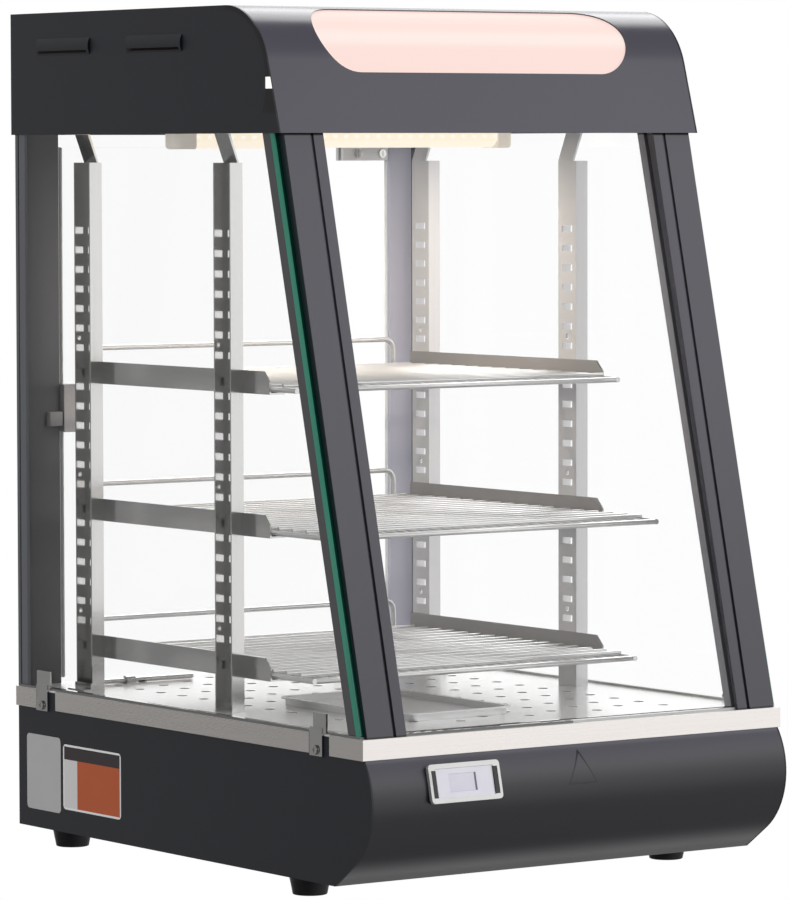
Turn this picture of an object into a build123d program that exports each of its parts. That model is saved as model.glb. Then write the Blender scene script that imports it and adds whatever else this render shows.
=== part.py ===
from build123d import *
import math
import os

os.makedirs("parts", exist_ok=True)

# Heated counter-top display case: black base with a curved front, glass walls,
# wire shelves on slotted uprights, a rear glass door and a lit cover.
# Millimetres. X to the right seen from the front, Y to the rear, Z up.
# The origin is under the middle of the whole case, on the counter top.

# Overall body
total_height = 638
rear_y = 233.5
sheet = 1.2
plate = 1.5
touch_gap = 0.1

# Feet
foot_height = 12.5
foot_top_radius = 15
foot_bottom_radius = 12.5
foot_x = (-172, 152)
foot_front_y = -147.5
foot_rear_y = 178
foot_bore = 4.2
foot_recess_radius = 5
foot_recess_depth = 5

# Base
base_half_width = 187
band_bottom = 105
floor_top = 120
band_thickness = 1.5
base_front_y = -237
bulge_radius = 54
bulge_center_z = 73
bulge_front_y = -247.5
bulge_low_angle = 55
return_flange = 20

# Floor holes
hole_pitch_x = 31
hole_pitch_y = 30
hole_diameter = 8
hole_columns = 9
hole_rows = 13
hole_first_y = -178

# Glass
side_glass_outer = 186.5
side_glass_thickness = 5
front_glass_half_width = 187
front_glass_thickness = 6
glass_slope = 0.2508
glass_mark_y = -130
glass_mark_z = 533.5
front_glass_top = 556
gasket_height = 1.5
gasket_width = 5.8

# Posts
front_post_outer = 183.5
front_post_face = 22.7
front_post_groove = 2.4
front_post_groove_depth = 2
front_post_strip = 9
front_post_high_y = -137.2
front_post_low_y = -236.8
inner_post_outer = 180.8
inner_post_depth = 8
rear_post_left_width = 39
rear_post_right_width = 26.2
rear_post_depth = 4
rear_post_wall = 1.2

# Glass clips
clip_screw_z = 108
clip_screw_diameter = 4
clip_head_diameter = 7
clip_head_height = 1.5
clip_top = 134.5
clip_bottom = 103.5
clip_rear_upper = (183.8, 203.1)
clip_rear_lower = (187.0, 203.1)
clip_front_upper = (-192.0, -175.5)
clip_front_lower = (-187.5, -171.5)
notch_rear = (175.5, 203.5)
notch_front = (-196.5, -171.1)
clip_screw_rear_y = 195
clip_screw_front_y = -179.5
clip_overlap = 4

# Cover
cover_half_width = 189.5
cover_bottom = 545.5
cover_curve_start = -68
cover_radius = 56
cover_slant = 16.7
roof_bottom = 547
roof_flange = 13
window_length = 279
window_chord = 62
window_center_y = -104.8
window_center_z = 613.7
window_tilt = 38.8
diffuser_thickness = 2
diffuser_gap = 0.3
diffuser_half_length = 150
louvre_length = 76
louvre_height = 13
louvre_raise = 2
louvre_z = 612
louvre_rear_y = 156
louvre_front_y = 28
leak_notch = 8.4
leak_notch_z = 581.5

# Lamp under the roof
lamp_y = 59.5
lamp_half_length = 153.5
lamp_cap_length = 16
lamp_width = 24
lamp_cap_radius = 8
lamp_bottom = 534.2
lamp_lens_top = 540

# Uprights
upright_inner = 151
upright_flange = 10.8
upright_depth = 22.9
upright_front_y = -23.4
upright_rear_y = 171.6
upright_top = 524.2
slot_top_z = 472.3
slot_pitch = 15
slot_count = 22
slot_width = 12.5
slot_height = 5
round_hole_diameter = 4
round_hole_after = (6, 13, 20)
tab_width = 18.5
tab_lean = 8
tab_foot = 12
foot_flange_height = 6
foot_flange_reach = 8

# Shelf brackets and grids
shelf_slots = (8, 15, 22)
bracket_rear_y = 184.3
bracket_front_y = -69.5
bracket_above_slot = 5
bracket_below_slot = 12
bracket_ledge = 12
bracket_nose = 8
hook_lip = 6
grid_half_width = 144.5
grid_rear_y = 193.5
grid_front_y = (-94, -141.5, -115.5)
frame_wire = 4
cross_wire = 3
long_wire = 2.6
cross_pitch = 18
long_pitch = 10
long_count = 27
wire_bite = 0.3
stop_height = 26.5
stop_corner = 8
stop_leg_x = 142

# Rear door
door_left = -147
door_right = 157
door_glass_thickness = 5
door_center_y = 228.2
door_bottom = 124.5
door_top = 536
hinge_x = 151.8
clamp_left = 111.4
clamp_thickness = 12
clamp_height = 13.1
clamp_bottom_z = 123.3
clamp_top_z = 524.4
clamp_screw_x = (125.4, 149.0)
pin_diameter = 5
pin_clearance = 0.05
socket_top = 123
handle_x = (-147.3, -134.2)
handle_z = (315.5, 352.5)
handle_reach = 14
pin_length = 6
socket_depth = 2.6
catch_left = -160
catch_depth = 5
catch_height = 11
catch_z = 326

# Water tray
tray_left = -99
tray_right = -4
tray_front = -162
tray_rear = -4
tray_height = 6
tray_corner = 10
tray_lip = 3

# Temperature probe
probe_left = -140
probe_right = -48
probe_y = 197.5
probe_diameter = 4
probe_lift = 0.3
probe_hole_gap = 1.6
probe_clip_x = -105

# Heating element
heater_left = -130
heater_bend = 60
heater_half = 60
heater_z = 70
heater_diameter = 8.5
heater_bracket_x = (-95, 30)

# Thermometer
meter_x = -107
meter_angle = 13.4
meter_width = 62
meter_height = 28
meter_flange = 3
meter_face_width = 50
meter_face_height = 21
meter_face_recess = 1.5
meter_body_depth = 22
screen_width = 24
screen_height = 13
screen_offset = -2

# Rear controls
knob_x = 110
knob_z = 66
knob_radius = 19
knob_end = 252.7
knob_gap = 0.6
shaft_diameter = 6
switch_x = (20, 56)
switch_z = 66
rocker_half_height = 10
rocker_reach = 4.5
rocker_half_width = 7
rocker_angle = 10
rocker_axis_radius = 1.5
switch_wall = 1.8
switch_gap = 0.3
switch_depth = 20
gland_x = -130
gland_z = 45

# Derived sizes
base_inner = base_half_width - sheet
base_top = floor_top - plate
base_rear_y = rear_y - band_thickness
bulge_center_y = bulge_front_y + bulge_radius
glass_bottom = floor_top + gasket_height
glass_run = front_glass_thickness * math.sqrt(1 + glass_slope ** 2)
cover_inner = cover_half_width - sheet
cover_center_z = total_height - cover_radius
roof_top = roof_bottom + sheet
side_glass_inner = side_glass_outer - side_glass_thickness
rear_post_front = base_rear_y + 0.2 - rear_post_depth


def glass_y(height):
    # outer face of the slanted front glass at a height
    return glass_mark_y - (glass_mark_z - height) * glass_slope


def slot_z(number):
    # height of a numbered upright slot, counted from the top
    return slot_top_z - slot_pitch * (number - 1)


def bulge_point(degrees, inset):
    # point on the curved base front, degrees above the level of the bulge
    reach = bulge_radius - inset
    turn = math.radians(degrees)
    return (bulge_center_y - reach * math.cos(turn), bulge_center_z + reach * math.sin(turn))


def base_front_points(inset):
    # corner, arc start, arc middle, arc end and bottom corner of the base front
    top_turn = math.degrees(math.asin((band_bottom - bulge_center_z) / (bulge_radius - inset)))
    start = bulge_point(top_turn, inset)
    middle = bulge_point((top_turn - bulge_low_angle) / 2, inset)
    end = bulge_point(-bulge_low_angle, inset)
    drop = end[1] - (foot_height + inset)
    turn = math.radians(bulge_low_angle)
    foot = (end[0] + drop * math.tan(turn), foot_height + inset)
    return start, middle, end, foot


def cover_points(inset):
    # arc start, arc middle, arc end and lower edge of the cover front
    reach = cover_radius - inset
    half = math.radians(90 + cover_slant) / 2
    full = math.radians(cover_slant)
    start = (cover_curve_start, cover_center_z + reach)
    middle = (cover_curve_start - reach * math.cos(half), cover_center_z + reach * math.sin(half))
    end = (cover_curve_start - reach * math.cos(full), cover_center_z + reach * math.sin(full))
    low = (end[0] - (end[1] - cover_bottom) * math.tan(full), cover_bottom)
    return start, middle, end, low


# Base side panels, flat plates with the curved front outline
with BuildPart() as base_side_left:
    outer = base_front_points(0)
    with BuildSketch(Plane.YZ.offset(-base_half_width)):
        with BuildLine():
            Line((base_rear_y, foot_height), (base_rear_y, base_top))
            Line((base_rear_y, base_top), (base_front_y, base_top))
            Line((base_front_y, base_top), (base_front_y, band_bottom))
            Line((base_front_y, band_bottom), outer[0])
            ThreePointArc(outer[0], outer[1], outer[2])
            Line(outer[2], outer[3])
            Line(outer[3], (base_rear_y, foot_height))
        make_face()
    extrude(amount=sheet)
    for clip_y in (clip_screw_rear_y, clip_screw_front_y):
        with Locations((-base_half_width, clip_y, clip_screw_z)):
            Cylinder(clip_screw_diameter / 2, 6, rotation=(0, 90, 0), mode=Mode.SUBTRACT)
base_side_left.part.label = "base_side_left"
export_step(base_side_left.part, "parts/base_side_left.step")

with BuildPart() as base_side_right:
    add(mirror(base_side_left.part, about=Plane.YZ))
base_side_right.part.label = "base_side_right"
export_step(base_side_right.part, "parts/base_side_right.step")

# Curved base front panel with a return flange under the base
with BuildPart() as base_front_panel:
    outer = base_front_points(0)
    inner = base_front_points(sheet)
    flange_end = outer[3][0] + return_flange
    with BuildSketch(Plane.YZ.offset(-base_inner)):
        with BuildLine():
            Line((base_front_y, base_top), (base_front_y, band_bottom))
            Line((base_front_y, band_bottom), outer[0])
            ThreePointArc(outer[0], outer[1], outer[2])
            Line(outer[2], outer[3])
            Line(outer[3], (flange_end, foot_height))
            Line((flange_end, foot_height), (flange_end, foot_height + sheet))
            Line((flange_end, foot_height + sheet), inner[3])
            Line(inner[3], inner[2])
            ThreePointArc(inner[2], inner[1], inner[0])
            Line(inner[0], (base_front_y + sheet, band_bottom))
            Line((base_front_y + sheet, band_bottom), (base_front_y + sheet, base_top))
            Line((base_front_y + sheet, base_top), (base_front_y, base_top))
        make_face()
    extrude(amount=2 * base_inner)
    meter_plane = Plane(origin=(meter_x, *bulge_point(meter_angle, 0)), x_dir=(1, 0, 0),
                        z_dir=(0, -math.cos(math.radians(meter_angle)), math.sin(math.radians(meter_angle))))
    with BuildSketch(meter_plane):
        Rectangle(meter_face_width + 2, meter_face_height + 2)
    extrude(amount=6, both=True, mode=Mode.SUBTRACT)
base_front_panel.part.label = "base_front_panel"
export_step(base_front_panel.part, "parts/base_front_panel.step")

# Base bottom plate between the side panels
bottom_front_y = base_front_points(0)[3][0] + return_flange
with BuildPart() as base_bottom_plate:
    with BuildSketch(Plane.XY.offset(foot_height)):
        with Locations((0, (bottom_front_y + base_rear_y) / 2)):
            Rectangle(2 * base_inner, base_rear_y - bottom_front_y)
        with Locations(*[(fx, fy) for fx in foot_x for fy in (foot_front_y, foot_rear_y)]):
            Circle(foot_bore / 2, mode=Mode.SUBTRACT)
        with GridLocations(30, 12, 8, 4):
            SlotOverall(20, 4, mode=Mode.SUBTRACT)
    extrude(amount=sheet)
base_bottom_plate.part.label = "base_bottom_plate"
export_step(base_bottom_plate.part, "parts/base_bottom_plate.step")

# Base rear panel with openings for knob shaft, switches and gland
rear_panel_front = base_rear_y - sheet
with BuildPart() as base_rear_panel:
    with BuildSketch(Plane.XZ.offset(-base_rear_y)):
        low = foot_height + sheet
        with Locations((0, (low + base_top) / 2)):
            Rectangle(2 * base_inner, base_top - low)
        with Locations((knob_x, knob_z)):
            Circle(shaft_diameter / 2 + 1, mode=Mode.SUBTRACT)
        with Locations(*[(sx, switch_z) for sx in switch_x]):
            Rectangle(2 * (rocker_half_width + switch_gap + switch_wall),
                      2 * (rocker_half_height + 1 + switch_wall), mode=Mode.SUBTRACT)
        with Locations((gland_x, gland_z)):
            Circle(8, mode=Mode.SUBTRACT)
        for row in range(4):
            with Locations((-60, 40 + 14 * row)):
                SlotOverall(70, 5, mode=Mode.SUBTRACT)
    extrude(amount=sheet)
base_rear_panel.part.label = "base_rear_panel"
export_step(base_rear_panel.part, "parts/base_rear_panel.step")

# Stainless band around the top of the base, notched at the glass clips
with BuildPart() as steel_band:
    band_half = base_half_width + band_thickness
    band_front = base_front_y - band_thickness
    with BuildSketch(Plane.XY.offset(band_bottom)):
        with Locations((0, (band_front + rear_y) / 2)):
            Rectangle(2 * band_half, rear_y - band_front)
        with Locations((0, (base_front_y + base_rear_y) / 2)):
            Rectangle(2 * base_half_width, base_rear_y - base_front_y, mode=Mode.SUBTRACT)
    extrude(amount=floor_top - band_bottom)
    for low_y, high_y in (notch_rear, notch_front):
        with Locations((0, (low_y + high_y) / 2, (band_bottom + floor_top) / 2)):
            Box(2 * band_half + 4, high_y - low_y, floor_top - band_bottom, mode=Mode.SUBTRACT)
steel_band.part.label = "steel_band"
export_step(steel_band.part, "parts/steel_band.step")

# Four tapered rubber feet
with BuildPart() as feet:
    with Locations(*[(fx, fy, foot_height / 2) for fx in foot_x
                     for fy in (foot_front_y, foot_rear_y)]):
        Cone(foot_bottom_radius, foot_top_radius, foot_height)
    with Locations(*[(fx, fy, foot_height / 2) for fx in foot_x
                     for fy in (foot_front_y, foot_rear_y)]):
        Cylinder(foot_bore / 2, foot_height, mode=Mode.SUBTRACT)
    with Locations(*[(fx, fy, foot_recess_depth / 2) for fx in foot_x
                     for fy in (foot_front_y, foot_rear_y)]):
        Cylinder(foot_recess_radius, foot_recess_depth, mode=Mode.SUBTRACT)
feet.part.label = "feet"
export_step(feet.part, "parts/feet.step")

# Screws that hold the feet
with BuildPart() as foot_screws:
    screw_radius = foot_bore / 2 - 0.1
    with Locations(*[(fx, fy, foot_recess_depth - 1.5) for fx in foot_x
                     for fy in (foot_front_y, foot_rear_y)]):
        Cylinder(foot_recess_radius - 1, 3)
    with Locations(*[(fx, fy, foot_recess_depth) for fx in foot_x
                     for fy in (foot_front_y, foot_rear_y)]):
        Cylinder(screw_radius, 12, align=(Align.CENTER, Align.CENTER, Align.MIN))
foot_screws.part.label = "foot_screws"
export_step(foot_screws.part, "parts/foot_screws.step")

# Perforated steel floor plate
with BuildPart() as floor_plate:
    with BuildSketch(Plane.XY.offset(base_top)):
        with Locations((0, (base_front_y + base_rear_y) / 2)):
            Rectangle(2 * base_half_width, base_rear_y - base_front_y)
        points = []
        for column in range(hole_columns):
            shift = (column % 2) * hole_pitch_y / 2
            for row in range(hole_rows):
                points.append(((column - (hole_columns - 1) / 2) * hole_pitch_x,
                               hole_first_y + shift + row * hole_pitch_y))
        with Locations(*points):
            Circle(hole_diameter / 2, mode=Mode.SUBTRACT)
        with Locations((probe_left, probe_y)):
            Circle(probe_diameter / 2 + probe_hole_gap, mode=Mode.SUBTRACT)
    extrude(amount=plate)
floor_plate.part.label = "floor_plate"
export_step(floor_plate.part, "parts/floor_plate.step")

# Gasket strip under the side and front glass
with BuildPart() as glass_gasket:
    front_outer = glass_y(glass_bottom)
    side_rear = rear_post_front - touch_gap
    with BuildSketch(Plane.XY.offset(floor_top)):
        with Locations((0, (front_outer + side_rear) / 2)):
            Rectangle(2 * front_glass_half_width, side_rear - front_outer)
        with Locations((0, (front_outer + gasket_width + side_rear) / 2 + 1)):
            Rectangle(2 * side_glass_inner, side_rear - front_outer - gasket_width + 2,
                      mode=Mode.SUBTRACT)
    extrude(amount=gasket_height)
    for low_y, high_y in (clip_rear_upper, clip_front_upper):
        for side in (-1, 1):
            with Locations((side * (side_glass_outer + 2), (low_y + high_y) / 2, floor_top + 1)):
                Box(4, high_y - low_y + 1, 4, mode=Mode.SUBTRACT)
glass_gasket.part.label = "glass_gasket"
export_step(glass_gasket.part, "parts/glass_gasket.step")

# Slanted front glass
with BuildPart() as front_glass:
    with BuildSketch(Plane.YZ.offset(-front_glass_half_width)):
        with BuildLine():
            Polyline((glass_y(glass_bottom), glass_bottom),
                     (glass_y(glass_bottom) + glass_run, glass_bottom),
                     (glass_y(front_glass_top) + glass_run, front_glass_top),
                     (glass_y(front_glass_top), front_glass_top), close=True)
        make_face()
    extrude(amount=2 * front_glass_half_width)
front_glass.part.label = "front_glass"
export_step(front_glass.part, "parts/front_glass.step")

# Side glasses with a slanted front edge behind the front glass
side_glass_top = roof_bottom - 0.2
with BuildPart() as side_glass_left:
    with BuildSketch(Plane.YZ.offset(-side_glass_outer)):
        with BuildLine():
            Polyline((glass_y(glass_bottom) + glass_run + touch_gap, glass_bottom),
                     (rear_post_front - touch_gap, glass_bottom),
                     (rear_post_front - touch_gap, side_glass_top),
                     (glass_y(side_glass_top) + glass_run + touch_gap, side_glass_top), close=True)
        make_face()
    extrude(amount=side_glass_thickness)
side_glass_left.part.label = "side_glass_left"
export_step(side_glass_left.part, "parts/side_glass_left.step")

with BuildPart() as side_glass_right:
    add(mirror(side_glass_left.part, about=Plane.YZ))
side_glass_right.part.label = "side_glass_right"
export_step(side_glass_right.part, "parts/side_glass_right.step")

# Slanted front posts, a grooved bar on the front glass and a plain bar behind it
post_width = front_post_face + front_post_groove + front_post_strip
post_slope = (front_post_high_y - front_post_low_y) / (glass_mark_z - floor_top)
with BuildPart() as front_posts:
    face_high = front_post_high_y + (roof_bottom - glass_mark_z) * post_slope
    low_y = glass_y(floor_top)
    high_y = glass_y(roof_bottom)
    with BuildSketch(Plane.YZ.offset(-front_post_outer)):
        with BuildLine():
            Polyline((front_post_low_y, floor_top), (low_y - touch_gap, floor_top),
                     (high_y - touch_gap, roof_bottom), (face_high, roof_bottom), close=True)
        make_face()
    extrude(amount=post_width)
    with BuildSketch(Plane.YZ.offset(-front_post_outer + front_post_face)):
        with BuildLine():
            Polyline((front_post_low_y - 1, floor_top - 1),
                     (front_post_low_y + front_post_groove_depth, floor_top - 1),
                     (face_high + front_post_groove_depth, roof_bottom + 1),
                     (face_high - 1, roof_bottom + 1), close=True)
        make_face()
    extrude(amount=front_post_groove, mode=Mode.SUBTRACT)
    back_low = low_y + glass_run + touch_gap
    back_high = high_y + glass_run + touch_gap
    with BuildSketch(Plane.YZ.offset(-inner_post_outer)):
        with BuildLine():
            Polyline((back_low, floor_top), (back_low + inner_post_depth, floor_top),
                     (back_high + inner_post_depth, roof_bottom), (back_high, roof_bottom), close=True)
        make_face()
    extrude(amount=inner_post_outer - front_post_outer + post_width)
    mirror(about=Plane.YZ)
front_posts.part.label = "front_posts"
export_step(front_posts.part, "parts/front_posts.step")


# Rear posts, shallow folded channels that open to the rear
def rear_post(x_low, width):
    height = roof_bottom - floor_top
    middle_y = rear_post_front + rear_post_depth / 2
    with Locations((x_low + width / 2, middle_y, floor_top + height / 2)):
        Box(width, rear_post_depth, height)
    with Locations((x_low + width / 2, middle_y + rear_post_wall, floor_top + height / 2)):
        Box(width - 2 * rear_post_wall, rear_post_depth, height, mode=Mode.SUBTRACT)


with BuildPart() as rear_posts:
    rear_post(-base_half_width, rear_post_left_width)
    rear_post(base_half_width - rear_post_right_width, rear_post_right_width)
rear_posts.part.label = "rear_posts"
export_step(rear_posts.part, "parts/rear_posts.step")

# Glass clips, each with an upper tab on the glass and a lower tab on the base
with BuildPart() as glass_clips:
    for side in (-1, 1):
        for upper, lower, screw_y in ((clip_rear_upper, clip_rear_lower, clip_screw_rear_y),
                                      (clip_front_upper, clip_front_lower, clip_screw_front_y)):
            with Locations((side * (side_glass_outer + band_thickness / 2), sum(upper) / 2,
                            (floor_top + clip_top) / 2)):
                Box(band_thickness, upper[1] - upper[0], clip_top - floor_top)
            with Locations((side * (base_half_width + band_thickness / 2), sum(lower) / 2,
                            (clip_bottom + floor_top + clip_overlap) / 2)):
                Box(band_thickness, lower[1] - lower[0], floor_top + clip_overlap - clip_bottom)
            with Locations((side * (base_half_width + band_thickness), screw_y, clip_screw_z)):
                Cylinder(clip_screw_diameter / 2, 8, rotation=(0, 90, 0), mode=Mode.SUBTRACT)
glass_clips.part.label = "glass_clips"
export_step(glass_clips.part, "parts/glass_clips.step")

# Pan-head screws of the glass clips
with BuildPart() as clip_screws:
    for side in (-1, 1):
        head_x = base_half_width + band_thickness
        with Locations(*[(side * (head_x + clip_head_height / 2), sy, clip_screw_z)
                         for sy in (clip_screw_rear_y, clip_screw_front_y)]):
            Cylinder(clip_head_diameter / 2, clip_head_height, rotation=(0, 90, 0))
        with Locations(*[(side * (head_x - 4.5), sy, clip_screw_z)
                         for sy in (clip_screw_rear_y, clip_screw_front_y)]):
            Cylinder(clip_screw_diameter / 2 - 0.05, 9, rotation=(0, 90, 0))
        with Locations(*[(side * (head_x + clip_head_height), sy, clip_screw_z)
                         for sy in (clip_screw_rear_y, clip_screw_front_y)]):
            Box(1.4, 4, 0.8, mode=Mode.SUBTRACT)
            Box(1.4, 0.8, 4, mode=Mode.SUBTRACT)
clip_screws.part.label = "clip_screws"
export_step(clip_screws.part, "parts/clip_screws.step")

# Bent cover shell, roof and front in one sheet, with the window opening
window_plane = Plane(origin=(0, window_center_y, window_center_z), x_dir=(1, 0, 0),
                     z_dir=(0, -math.cos(math.radians(window_tilt)), math.sin(math.radians(window_tilt))))
with BuildPart() as cover_shell:
    outer = cover_points(0)
    inner = cover_points(sheet)
    with BuildSketch(Plane.YZ.offset(-cover_inner)):
        with BuildLine():
            Line((rear_y, total_height), outer[0])
            ThreePointArc(outer[0], outer[1], outer[2])
            Line(outer[2], outer[3])
            Line(outer[3], inner[3])
            Line(inner[3], inner[2])
            ThreePointArc(inner[2], inner[1], inner[0])
            Line(inner[0], (rear_y, total_height - sheet))
            Line((rear_y, total_height - sheet), (rear_y, total_height))
        make_face()
    extrude(amount=2 * cover_inner)
    with BuildSketch(window_plane):
        SlotOverall(window_length, window_chord)
    extrude(amount=16, both=True, mode=Mode.SUBTRACT)
cover_shell.part.label = "cover_shell"
export_step(cover_shell.part, "parts/cover_shell.step")

# Cover side plates with two pressed louvres each
louvre_radius = (louvre_height ** 2 / 4 + louvre_raise ** 2) / (2 * louvre_raise)
with BuildPart() as cover_side_left:
    outer = cover_points(0)
    with BuildSketch(Plane.YZ.offset(-cover_half_width)):
        with BuildLine():
            Line((rear_y, cover_bottom), (rear_y, total_height))
            Line((rear_y, total_height), outer[0])
            ThreePointArc(outer[0], outer[1], outer[2])
            Line(outer[2], outer[3])
            Line(outer[3], (rear_y, cover_bottom))
        make_face()
        with Locations((outer[3][0] + (leak_notch_z - cover_bottom) * math.tan(math.radians(cover_slant)),
                        leak_notch_z)):
            Rectangle(2 * leak_notch, leak_notch, mode=Mode.SUBTRACT)
    extrude(amount=sheet)
    for louvre_y in (louvre_rear_y, louvre_front_y):
        with BuildSketch(Plane.XZ.offset(-louvre_y - louvre_length / 2)):
            with BuildLine():
                ThreePointArc((-cover_half_width, louvre_z - louvre_height / 2),
                              (-cover_half_width - louvre_raise, louvre_z),
                              (-cover_half_width, louvre_z + louvre_height / 2))
                Line((-cover_half_width, louvre_z + louvre_height / 2),
                     (-cover_half_width, louvre_z - louvre_height / 2))
            make_face()
        extrude(amount=louvre_length)
        with Locations((-cover_half_width + sheet / 2, louvre_y, louvre_z - louvre_height / 4)):
            Box(2 * sheet + louvre_raise, louvre_length - 6, louvre_height / 4, mode=Mode.SUBTRACT)
cover_side_left.part.label = "cover_side_left"
export_step(cover_side_left.part, "parts/cover_side_left.step")

with BuildPart() as cover_side_right:
    add(mirror(cover_side_left.part, about=Plane.YZ))
cover_side_right.part.label = "cover_side_right"
export_step(cover_side_right.part, "parts/cover_side_right.step")

# Rear panel of the cover with a row of vent slots
with BuildPart() as cover_rear_panel:
    low = cover_bottom
    high = total_height - sheet
    with BuildSketch(Plane.XZ.offset(-rear_y)):
        with Locations((0, (low + high) / 2)):
            Rectangle(2 * cover_inner, high - low)
        with Locations((0, high - 26)):
            with GridLocations(24, 12, 11, 2):
                SlotOverall(18, 4, mode=Mode.SUBTRACT)
    extrude(amount=sheet)
cover_rear_panel.part.label = "cover_rear_panel"
export_step(cover_rear_panel.part, "parts/cover_rear_panel.step")

# Roof plate over the cabin, a flat tray with side flanges
roof_front_y = glass_y(roof_top) + glass_run + touch_gap
roof_rear_y = rear_y - sheet - touch_gap
roof_half = cover_inner - touch_gap
with BuildPart() as roof_plate:
    with BuildSketch(Plane.XY.offset(roof_bottom)):
        with Locations((0, (roof_front_y + roof_rear_y) / 2)):
            Rectangle(2 * roof_half, roof_rear_y - roof_front_y)
    extrude(amount=sheet)
    with Locations(*[(sx * (roof_half - sheet / 2), (roof_front_y + roof_rear_y) / 2,
                      roof_bottom + roof_flange / 2) for sx in (-1, 1)]):
        Box(sheet, roof_rear_y - roof_front_y, roof_flange)
roof_plate.part.label = "roof_plate"
export_step(roof_plate.part, "parts/roof_plate.step")

# Lit window sheet behind the cover opening
with BuildPart() as diffuser:
    outer = cover_points(sheet + diffuser_gap)
    inner = cover_points(sheet + diffuser_gap + diffuser_thickness)
    low_step = (outer[2][1] - 572) * math.tan(math.radians(cover_slant))
    with BuildSketch(Plane.YZ.offset(-diffuser_half_length)):
        with BuildLine():
            Line((outer[0][0] + 6, outer[0][1]), outer[0])
            ThreePointArc(outer[0], outer[1], outer[2])
            Line(outer[2], (outer[2][0] - low_step, 572))
            Line((outer[2][0] - low_step, 572), (inner[2][0] - low_step, 572))
            Line((inner[2][0] - low_step, 572), inner[2])
            ThreePointArc(inner[2], inner[1], inner[0])
            Line(inner[0], (inner[0][0] + 6, inner[0][1]))
            Line((inner[0][0] + 6, inner[0][1]), (outer[0][0] + 6, outer[0][1]))
        make_face()
    extrude(amount=2 * diffuser_half_length)
diffuser.part.label = "diffuser"
export_step(diffuser.part, "parts/diffuser.step")

# Two end brackets that carry the window sheet from the roof plate
with BuildPart() as diffuser_brackets:
    inner = cover_points(sheet + diffuser_gap + diffuser_thickness + diffuser_gap)
    bracket_low = (inner[2][1] - 580) * math.tan(math.radians(cover_slant))
    for side in (-1, 1):
        with BuildSketch(Plane.YZ.offset(side * (diffuser_half_length - 6))):
            with BuildLine():
                Line((inner[2][0] - bracket_low, 580), inner[2])
                ThreePointArc(inner[2], inner[1], inner[0])
                Line(inner[0], (inner[0][0] + 6, inner[0][1]))
                Line((inner[0][0] + 6, inner[0][1]), (inner[0][0] + 6, roof_top))
                Line((inner[0][0] + 6, roof_top), (-90, roof_top))
                Line((-90, roof_top), (inner[2][0] - bracket_low, 580))
            make_face()
        extrude(amount=side * plate)
diffuser_brackets.part.label = "diffuser_brackets"
export_step(diffuser_brackets.part, "parts/diffuser_brackets.step")

# LED strip for the window on a small carrier
with BuildPart() as window_leds:
    with Locations((0, -74, roof_top + 6)):
        Box(270, 2, 12)
    with Locations(*[(-126 + 18 * k, -75.5, roof_top + 8) for k in range(15)]):
        Box(5, 1, 5)
window_leds.part.label = "window_leds"
export_step(window_leds.part, "parts/window_leds.step")

# LED driver on the roof plate
with BuildPart() as led_driver:
    with Locations((60, 120, roof_top + 13)):
        Box(120, 42, 26)
    chamfer(led_driver.edges().group_by(Axis.Z)[-1], 2)
led_driver.part.label = "led_driver"
export_step(led_driver.part, "parts/led_driver.step")

# Lamp under the roof: channel, lens and rounded end caps
lamp_inner = lamp_half_length - lamp_cap_length
with BuildPart() as lamp_housing:
    with Locations((0, lamp_y, (lamp_lens_top + roof_bottom) / 2)):
        Box(2 * lamp_inner, lamp_width - 2, roof_bottom - lamp_lens_top)
lamp_housing.part.label = "lamp_housing"
export_step(lamp_housing.part, "parts/lamp_housing.step")

with BuildPart() as lamp_lens:
    lens_half = lamp_width / 2 - 2
    with BuildSketch(Plane.YZ.offset(-lamp_inner)):
        with BuildLine():
            ThreePointArc((lamp_y - lens_half, lamp_lens_top), (lamp_y, lamp_bottom + 0.4),
                          (lamp_y + lens_half, lamp_lens_top))
            Line((lamp_y + lens_half, lamp_lens_top), (lamp_y - lens_half, lamp_lens_top))
        make_face()
    extrude(amount=2 * lamp_inner)
lamp_lens.part.label = "lamp_lens"
export_step(lamp_lens.part, "parts/lamp_lens.step")

with BuildPart() as lamp_caps:
    for side in (-1, 1):
        with Locations((side * (lamp_half_length - lamp_cap_length / 2), lamp_y,
                        (lamp_bottom + roof_bottom) / 2)):
            Box(lamp_cap_length, lamp_width, roof_bottom - lamp_bottom)
    upright_edges = lamp_caps.edges().filter_by(Axis.Z).sort_by(Axis.X)
    fillet(upright_edges[:2] + upright_edges[-2:], lamp_cap_radius)
    fillet(lamp_caps.edges().filter_by(Axis.X).group_by(Axis.Z)[0], 3)
lamp_caps.part.label = "lamp_caps"
export_step(lamp_caps.part, "parts/lamp_caps.step")


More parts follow.
